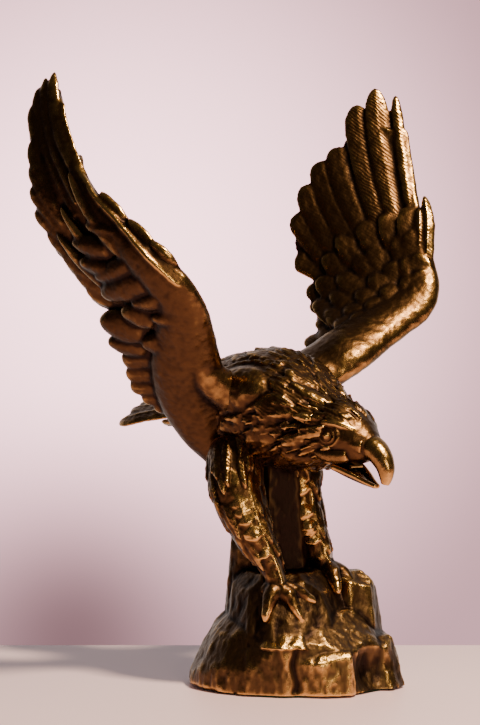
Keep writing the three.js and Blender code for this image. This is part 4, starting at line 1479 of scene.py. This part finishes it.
class Graph:
    """The nodes of a material or a world, each made by one call."""

    def __init__(self, owner: bpy.types.ID) -> None:
        """Clears the owner's nodes.

        Args:
            owner: the material or world.
        """
        self.owner = owner
        owner.use_nodes = True
        self.tree = owner.node_tree
        self.tree.nodes.clear()

    def node(self, kind: str, settings: dict | None = None, values: dict | None = None,
             output: int | str = 0) -> Socket | None:
        """Makes a node: its settings first, then numbers or links on its inputs.

        Args:
            kind: the node's type.
            settings: properties such as an operation.
            values: numbers, colours or sockets for its inputs.
            output: which of its outputs is wanted.

        Returns:
            That output, or nothing for a node without outputs.
        """
        made = self.tree.nodes.new(kind)
        for key, value in (settings or {}).items():
            setattr(made, key, value)
        for key, value in (values or {}).items():
            if isinstance(value, Socket):
                self.tree.links.new(value.out, made.inputs[key])
            else:
                made.inputs[key].default_value = value
        return Socket(self, made.outputs[output]) if made.outputs else None

    def math(self, operation: str, a: object, b: object = 0.0) -> Socket:
        """One Math node."""
        return self.node("ShaderNodeMath", {"operation": operation}, {0: a, 1: b})

    def ramp(self, value: Socket, low: float, high: float, to_low: float = 0.0, to_high: float = 1.0) -> Socket:
        """Soft change from `to_low` to `to_high` while the value goes from `low` to `high`."""
        ends = {"From Min": low, "From Max": high, "To Min": to_low, "To Max": to_high}
        kind = {"interpolation_type": "SMOOTHSTEP"}
        return self.node("ShaderNodeMapRange", kind, {"Value": value} | ends, "Result")

    def attribute(self, name: str) -> Socket:
        """A number stored on the piece's points."""
        return self.node("ShaderNodeAttribute", {"attribute_name": name}, output="Fac")

    def parts(self, vector: Socket) -> list[Socket]:
        """The three numbers of a vector."""
        split = self.node("ShaderNodeSeparateXYZ", values={0: vector})
        return [Socket(self, out) for out in split.out.node.outputs]

    def place(self) -> Socket:
        """The piece's own places, in metres."""
        return self.node("ShaderNodeTexCoord", output="Object")

    def noise(self, size_mm: float, detail: float = 3.0, rough: float = 0.55) -> Socket:
        """Noise over the piece's own places, changing over about `size_mm`."""
        values = {"Vector": self.place(), "Scale": 1.0 / (size_mm * MM), "Detail": detail, "Roughness": rough}
        return self.node("ShaderNodeTexNoise", values=values, output="Fac")

    def streaks(self, size_mm: float, length_mm: float) -> Socket:
        """Noise drawn out upright.

        Args:
            size_mm: how far across it changes.
            length_mm: how far up it changes.

        Returns:
            A value from 0 to 1.
        """
        x, y, z = self.parts(self.place())
        fine, long = 1.0 / (size_mm * MM), 1.0 / (length_mm * MM)
        where = self.node("ShaderNodeCombineXYZ", values={0: x * fine, 1: y * fine, 2: z * long})
        values = {"Vector": where, "Scale": 1.0, "Detail": 3.0, "Roughness": 0.6}
        return self.node("ShaderNodeTexNoise", values=values, output="Fac")

    def mix(self, share: Socket, a: object, b: object) -> Socket:
        """A colour between two colours."""
        return self.node("ShaderNodeMix", {"data_type": "RGBA"}, {0: share, 6: a, 7: b}, 2)

    def bump(self, height: Socket, distance_mm: float, before: Socket | None = None) -> Socket:
        """A normal bent by a height.

        Args:
            height: a value from 0 to 1.
            distance_mm: the height that 1 stands for.
            before: a normal that is bent already.

        Returns:
            The bent normal.
        """
        values = {"Height": height, "Distance": distance_mm * MM, "Strength": 1.0}
        if before is not None:
            values["Normal"] = before
        return self.node("ShaderNodeBump", values=values, output="Normal")

    def finish(self, **inputs: object) -> bpy.types.Material:
        """Ends the material in a Principled surface.

        Args:
            **inputs: numbers, colours or sockets, by input name with _ for a space.

        Returns:
            The material.
        """
        values = {name.replace("_", " "): value for name, value in inputs.items()}
        self.node("ShaderNodeOutputMaterial", values={0: self.node("ShaderNodeBsdfPrincipled", values=values)})
        return self.owner


@dataclass(frozen=True)
class Patina:
    """Bronze, dark in the hollows and rubbed to gold on the ridges and where hands have polished it, plus
    painted highlight and shade.
    """

    name: str
    dark: tuple = (0.022, 0.012, 0.009, 1.0)
    mid: tuple = (0.088, 0.043, 0.018, 1.0)
    gold: tuple = (0.64, 0.37, 0.12, 1.0)
    rubbed: float = 0.0
    rough: float = 0.27
    barbs: float = 0.35
    scratch: float = 0.0      # height of fine upright scratches

    def make(self) -> bpy.types.Material:
        """Builds the material.

        Returns:
            The finished material.
        """
        g = Graph(bpy.data.materials.new(self.name))
        cloud = g.noise(16.0, 3.0)
        speck = g.noise(1.8, 4.0, 0.65)
        wear = g.attribute("wear") + (cloud - 0.5) * 0.14 + (speck - 0.5) * 0.05 + self.rubbed
        # polish adds rubbed gold, and on some pieces painted highlight; below zero on the pillar, stump,
        # middle, toes and right wing arm it paints shade
        wear = wear + g.attribute("polish_and_painted_light") * 0.4
        lower = g.mix(g.ramp(wear, 0.12, 0.5), self.dark, self.mid)
        colour = g.mix(g.ramp(wear, 0.5, 1.0), lower, self.gold)
        rough = g.ramp(wear, 0.2, 0.85, self.rough + 0.14, self.rough - 0.05) + (speck - 0.5) * 0.16
        x, y, z = g.parts(g.place())
        lines = g.math("SINE", (z + x * 0.9 + y * 0.5) * (2.5 / MM) + g.noise(9.0) * 16.0)
        barb = g.bump(lines * g.attribute("barbs") * self.barbs + cloud * 0.5, 0.09)
        grain = g.bump(speck + g.streaks(0.7, 9.0) * self.scratch, 0.14, barb)
        return g.finish(Base_Color=colour, Metallic=1.0, Roughness=rough, Normal=grain)


@dataclass(frozen=True)
class Plain:
    """One even colour."""

    name: str
    colour: tuple
    metallic: float
    rough: float

    def make(self) -> bpy.types.Material:
        """Builds the material.

        Returns:
            The finished material.
        """
        g = Graph(bpy.data.materials.new(self.name))
        rough = self.rough + (g.noise(1.2, 2.0) - 0.5) * 0.1
        return g.finish(Base_Color=self.colour, Metallic=self.metallic, Roughness=rough)


# ---------------------------------------------------------------- the statuette
class Statuette:
    """All the castings, each standing for its CAD node."""

    BRONZE = Patina("bronze_patina")
    ROCK = Patina("bronze_rock", mid=(0.10, 0.054, 0.024, 1.0), rough=0.3, barbs=0.0, scratch=1.3)
    BEAK = Patina("bronze_beak", rubbed=0.12, rough=0.2, barbs=0.0)
    STEEL = Plain("plate_steel", (0.5, 0.5, 0.5, 1.0), 1.0, 0.35)
    FELT = Plain("felt_green", (0.02, 0.05, 0.03, 1.0), 0.0, 0.95)
    BRASS = Plain("pin_brass", (0.6, 0.42, 0.16, 1.0), 1.0, 0.3)

    RIGHT = [
        (-4, -19, 133, 12), (-2, -23, 121, 14), (3, -26, 106, 13.2), (9, -26, 93, 11.5), (16, -24.5, 80, 9),
        (23, -21.5, 68, 6), (27, -20, 58, 5.2), (27, -20, 50, 6.5),
    ]
    LEFT = [
        (2, 14, 132, 11), (5, 17, 120, 12), (8, 18, 106, 11), (11, 17.5, 93, 10), (15, 18, 82, 8.6),
        (19.5, 19.5, 72, 6.6), (23.5, 21, 64, 5.6), (25.5, 22, 57, 6.5),
    ]
    RIGHT_TOES = [(29, -31, 38), (42, -16, 37), (41, -5, 47), (14, -22, 46)]
    LEFT_TOES = [(40, 14, 50), (43, 29, 46), (33, 37, 48), (13, 27, 55)]

    def build(self) -> None:
        """Builds every casting and paints the joinery."""
        bronze = (self.BRONZE.make(), "patinated_bronze")
        rock = (self.ROCK.make(), "rock_bronze")
        beak = (self.BEAK.make(), "rubbed_bronze")
        pieces = [
            ("left_wing", left_wing(), bronze),
            ("right_wing", right_wing(), bronze),
            ("torso", Torso(), bronze),
            ("head", Head(), bronze),
            ("lower_beak", LowerBeak(), beak),
            ("tail", Tail(), bronze),
            ("right_leg", Leg("right_leg_casting", self.RIGHT, self.RIGHT_TOES, 71), bronze),
            ("left_leg", Leg("left_leg_casting", self.LEFT, self.LEFT_TOES, 72), bronze),
            ("rock_base", RockBase(), rock),
        ]
        for node, piece, (material, slot) in pieces:
            thing = piece.build()
            thing.data.materials.clear()
            thing.data.materials.append(material)
            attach(thing, "root")
            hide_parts(node)
        self.paint_joinery()

    def paint_joinery(self) -> None:
        """Gives the pins, studs, plate and felt their finishes."""
        steel, felt, brass = self.STEEL.make(), self.FELT.make(), self.BRASS.make()
        for name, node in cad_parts.items():
            if name == "felt_pad":
                material = felt
            elif name.endswith(("_pin", "_front", "_rear")):
                material = brass
            elif any(word in name for word in ("stud", "nut", "washer", "plate")):
                material = steel
            else:
                continue
            for slot in node.material_slots:
                slot.material = material
            LOG.info("%s: %s", name, material.name)


# ---------------------------------------------------------------- studio
@dataclass(frozen=True)
class Studio:
    """Pale table and wall, a warm lamp from the upper right and a dim room behind the viewer."""

    lens: float = 96.0                 # millimetres, over a sensor of 36
    eye: tuple = (-0.0295, -1.05, 0.174)
    key: float = 22.0                  # watts of the lamp from the upper right
    front: float = 2.2                 # watts of the lamp beside the viewer

    def build(self) -> None:
        """Makes the table, lights, world and camera."""
        self.table()
        self.lamp("key", (0.40, -0.42, 0.95), (0.0, 0.0, 0.17), 0.14, self.key, (1.0, 0.80, 0.50))
        self.lamp("front", (0.28, -1.1, 0.32), (0.0, 0.0, 0.1), 0.22, self.front, (1.0, 0.80, 0.52))
        self.world()
        self.camera()

    def table(self) -> None:
        """A pale slab that ends a little behind the statuette."""
        x, y, z = np.meshgrid([-1.5, 1.5], [-0.48, 0.14], [-0.04, 0.0], indexing="ij")
        corners = np.stack([x.ravel(), y.ravel(), z.ravel()], 1)
        sides = [(0, 1, 3, 2), (4, 6, 7, 5), (0, 4, 5, 1), (2, 3, 7, 6), (0, 2, 6, 4), (1, 5, 7, 3)]
        data = bpy.data.meshes.new("table_slab")
        data.from_pydata(corners.tolist(), [], sides)
        slab = bpy.data.objects.new("table_slab", data)
        bpy.context.collection.objects.link(slab)
        g = Graph(bpy.data.materials.new("table_pale"))
        data.materials.append(g.finish(Base_Color=(0.92, 0.68, 0.84, 1.0), Roughness=0.45))

    def lamp(self, name: str, place: tuple, target: tuple, size: float, power: float, colour: tuple) -> None:
        """One square area lamp.

        Args:
            name: its name.
            place: where it stands.
            target: what it is turned to.
            size: length of its side.
            power: in watts.
            colour: red, green and blue of its light.
        """
        data = bpy.data.lights.new(name, "AREA")
        data.size, data.energy, data.color = size, power, colour
        thing = bpy.data.objects.new(name, data)
        bpy.context.collection.objects.link(thing)
        thing.location = place
        thing.rotation_euler = (Vector(target) - Vector(place)).to_track_quat("-Z", "Y").to_euler()

    def world(self) -> None:
        """The wall the camera sees, with a painted pool of light and shadow, and a room pale behind the
        statuette, dark before it.
        """
        world = bpy.data.worlds.new("studio_world")
        bpy.context.scene.world = world
        g = Graph(world)
        way = g.node("ShaderNodeTexCoord", output="Generated")
        _, ahead, _ = g.parts(way)
        glow = g.ramp(ahead, 0.2, 0.95, 0.07, 1.2)
        # painted light on the wall: a bright pool up and left of the middle, times a painted shadow of the
        # statuette at the lower left
        wall = self.spot(way, (-0.06, 0.045), 0.25, 4.7, 0.9) * self.spot(way, (-0.085, -0.135), 0.13, 0.2, 1.0)
        room = g.node("ShaderNodeBackground", values={0: (0.80, 0.70, 0.66, 1.0), 1: glow})
        seen = g.node("ShaderNodeBackground", values={0: (1.0, 0.55, 0.61, 1.0), 1: wall})
        by_camera = g.node("ShaderNodeLightPath", output="Is Camera Ray")
        both = g.node("ShaderNodeMixShader", values={0: by_camera, 1: room, 2: seen})
        g.node("ShaderNodeOutputWorld", values={0: both})

    def spot(self, way: Socket, centre: tuple, reach: float, inner: float, outer: float) -> Socket:
        """Strength that changes softly with the distance from a place on the wall, used to paint light and
        shadow there.

        Args:
            way: the direction looked in.
            centre: sideways and upward slope of the direction to the middle of the spot.
            reach: slope from the middle at which the change ends.
            inner, outer: strength in the middle and beyond the reach.

        Returns:
            The strength.
        """
        g = way.graph
        middle = (centre[0], 1.0, centre[1])
        off = g.node("ShaderNodeVectorMath", {"operation": "SUBTRACT"}, {0: way, 1: middle})
        far = g.node("ShaderNodeVectorMath", {"operation": "LENGTH"}, {0: off}, "Value")
        return g.ramp(far, 0.0, reach, inner, outer)

    def camera(self) -> None:
        """A level camera in front of the statuette, at half its height."""
        data = bpy.data.cameras.new("studio_camera")
        data.sensor_width, data.lens = 36.0, self.lens
        thing = bpy.data.objects.new("studio_camera", data)
        bpy.context.collection.objects.link(thing)
        thing.location = self.eye
        thing.rotation_euler = (math.pi / 2, 0.0, 0.0)
        bpy.context.scene.camera = thing


def main() -> None:
    """Builds the statuette and its studio."""
    Statuette().build()
    Studio().build()


if __name__ == "__main__":
    main()
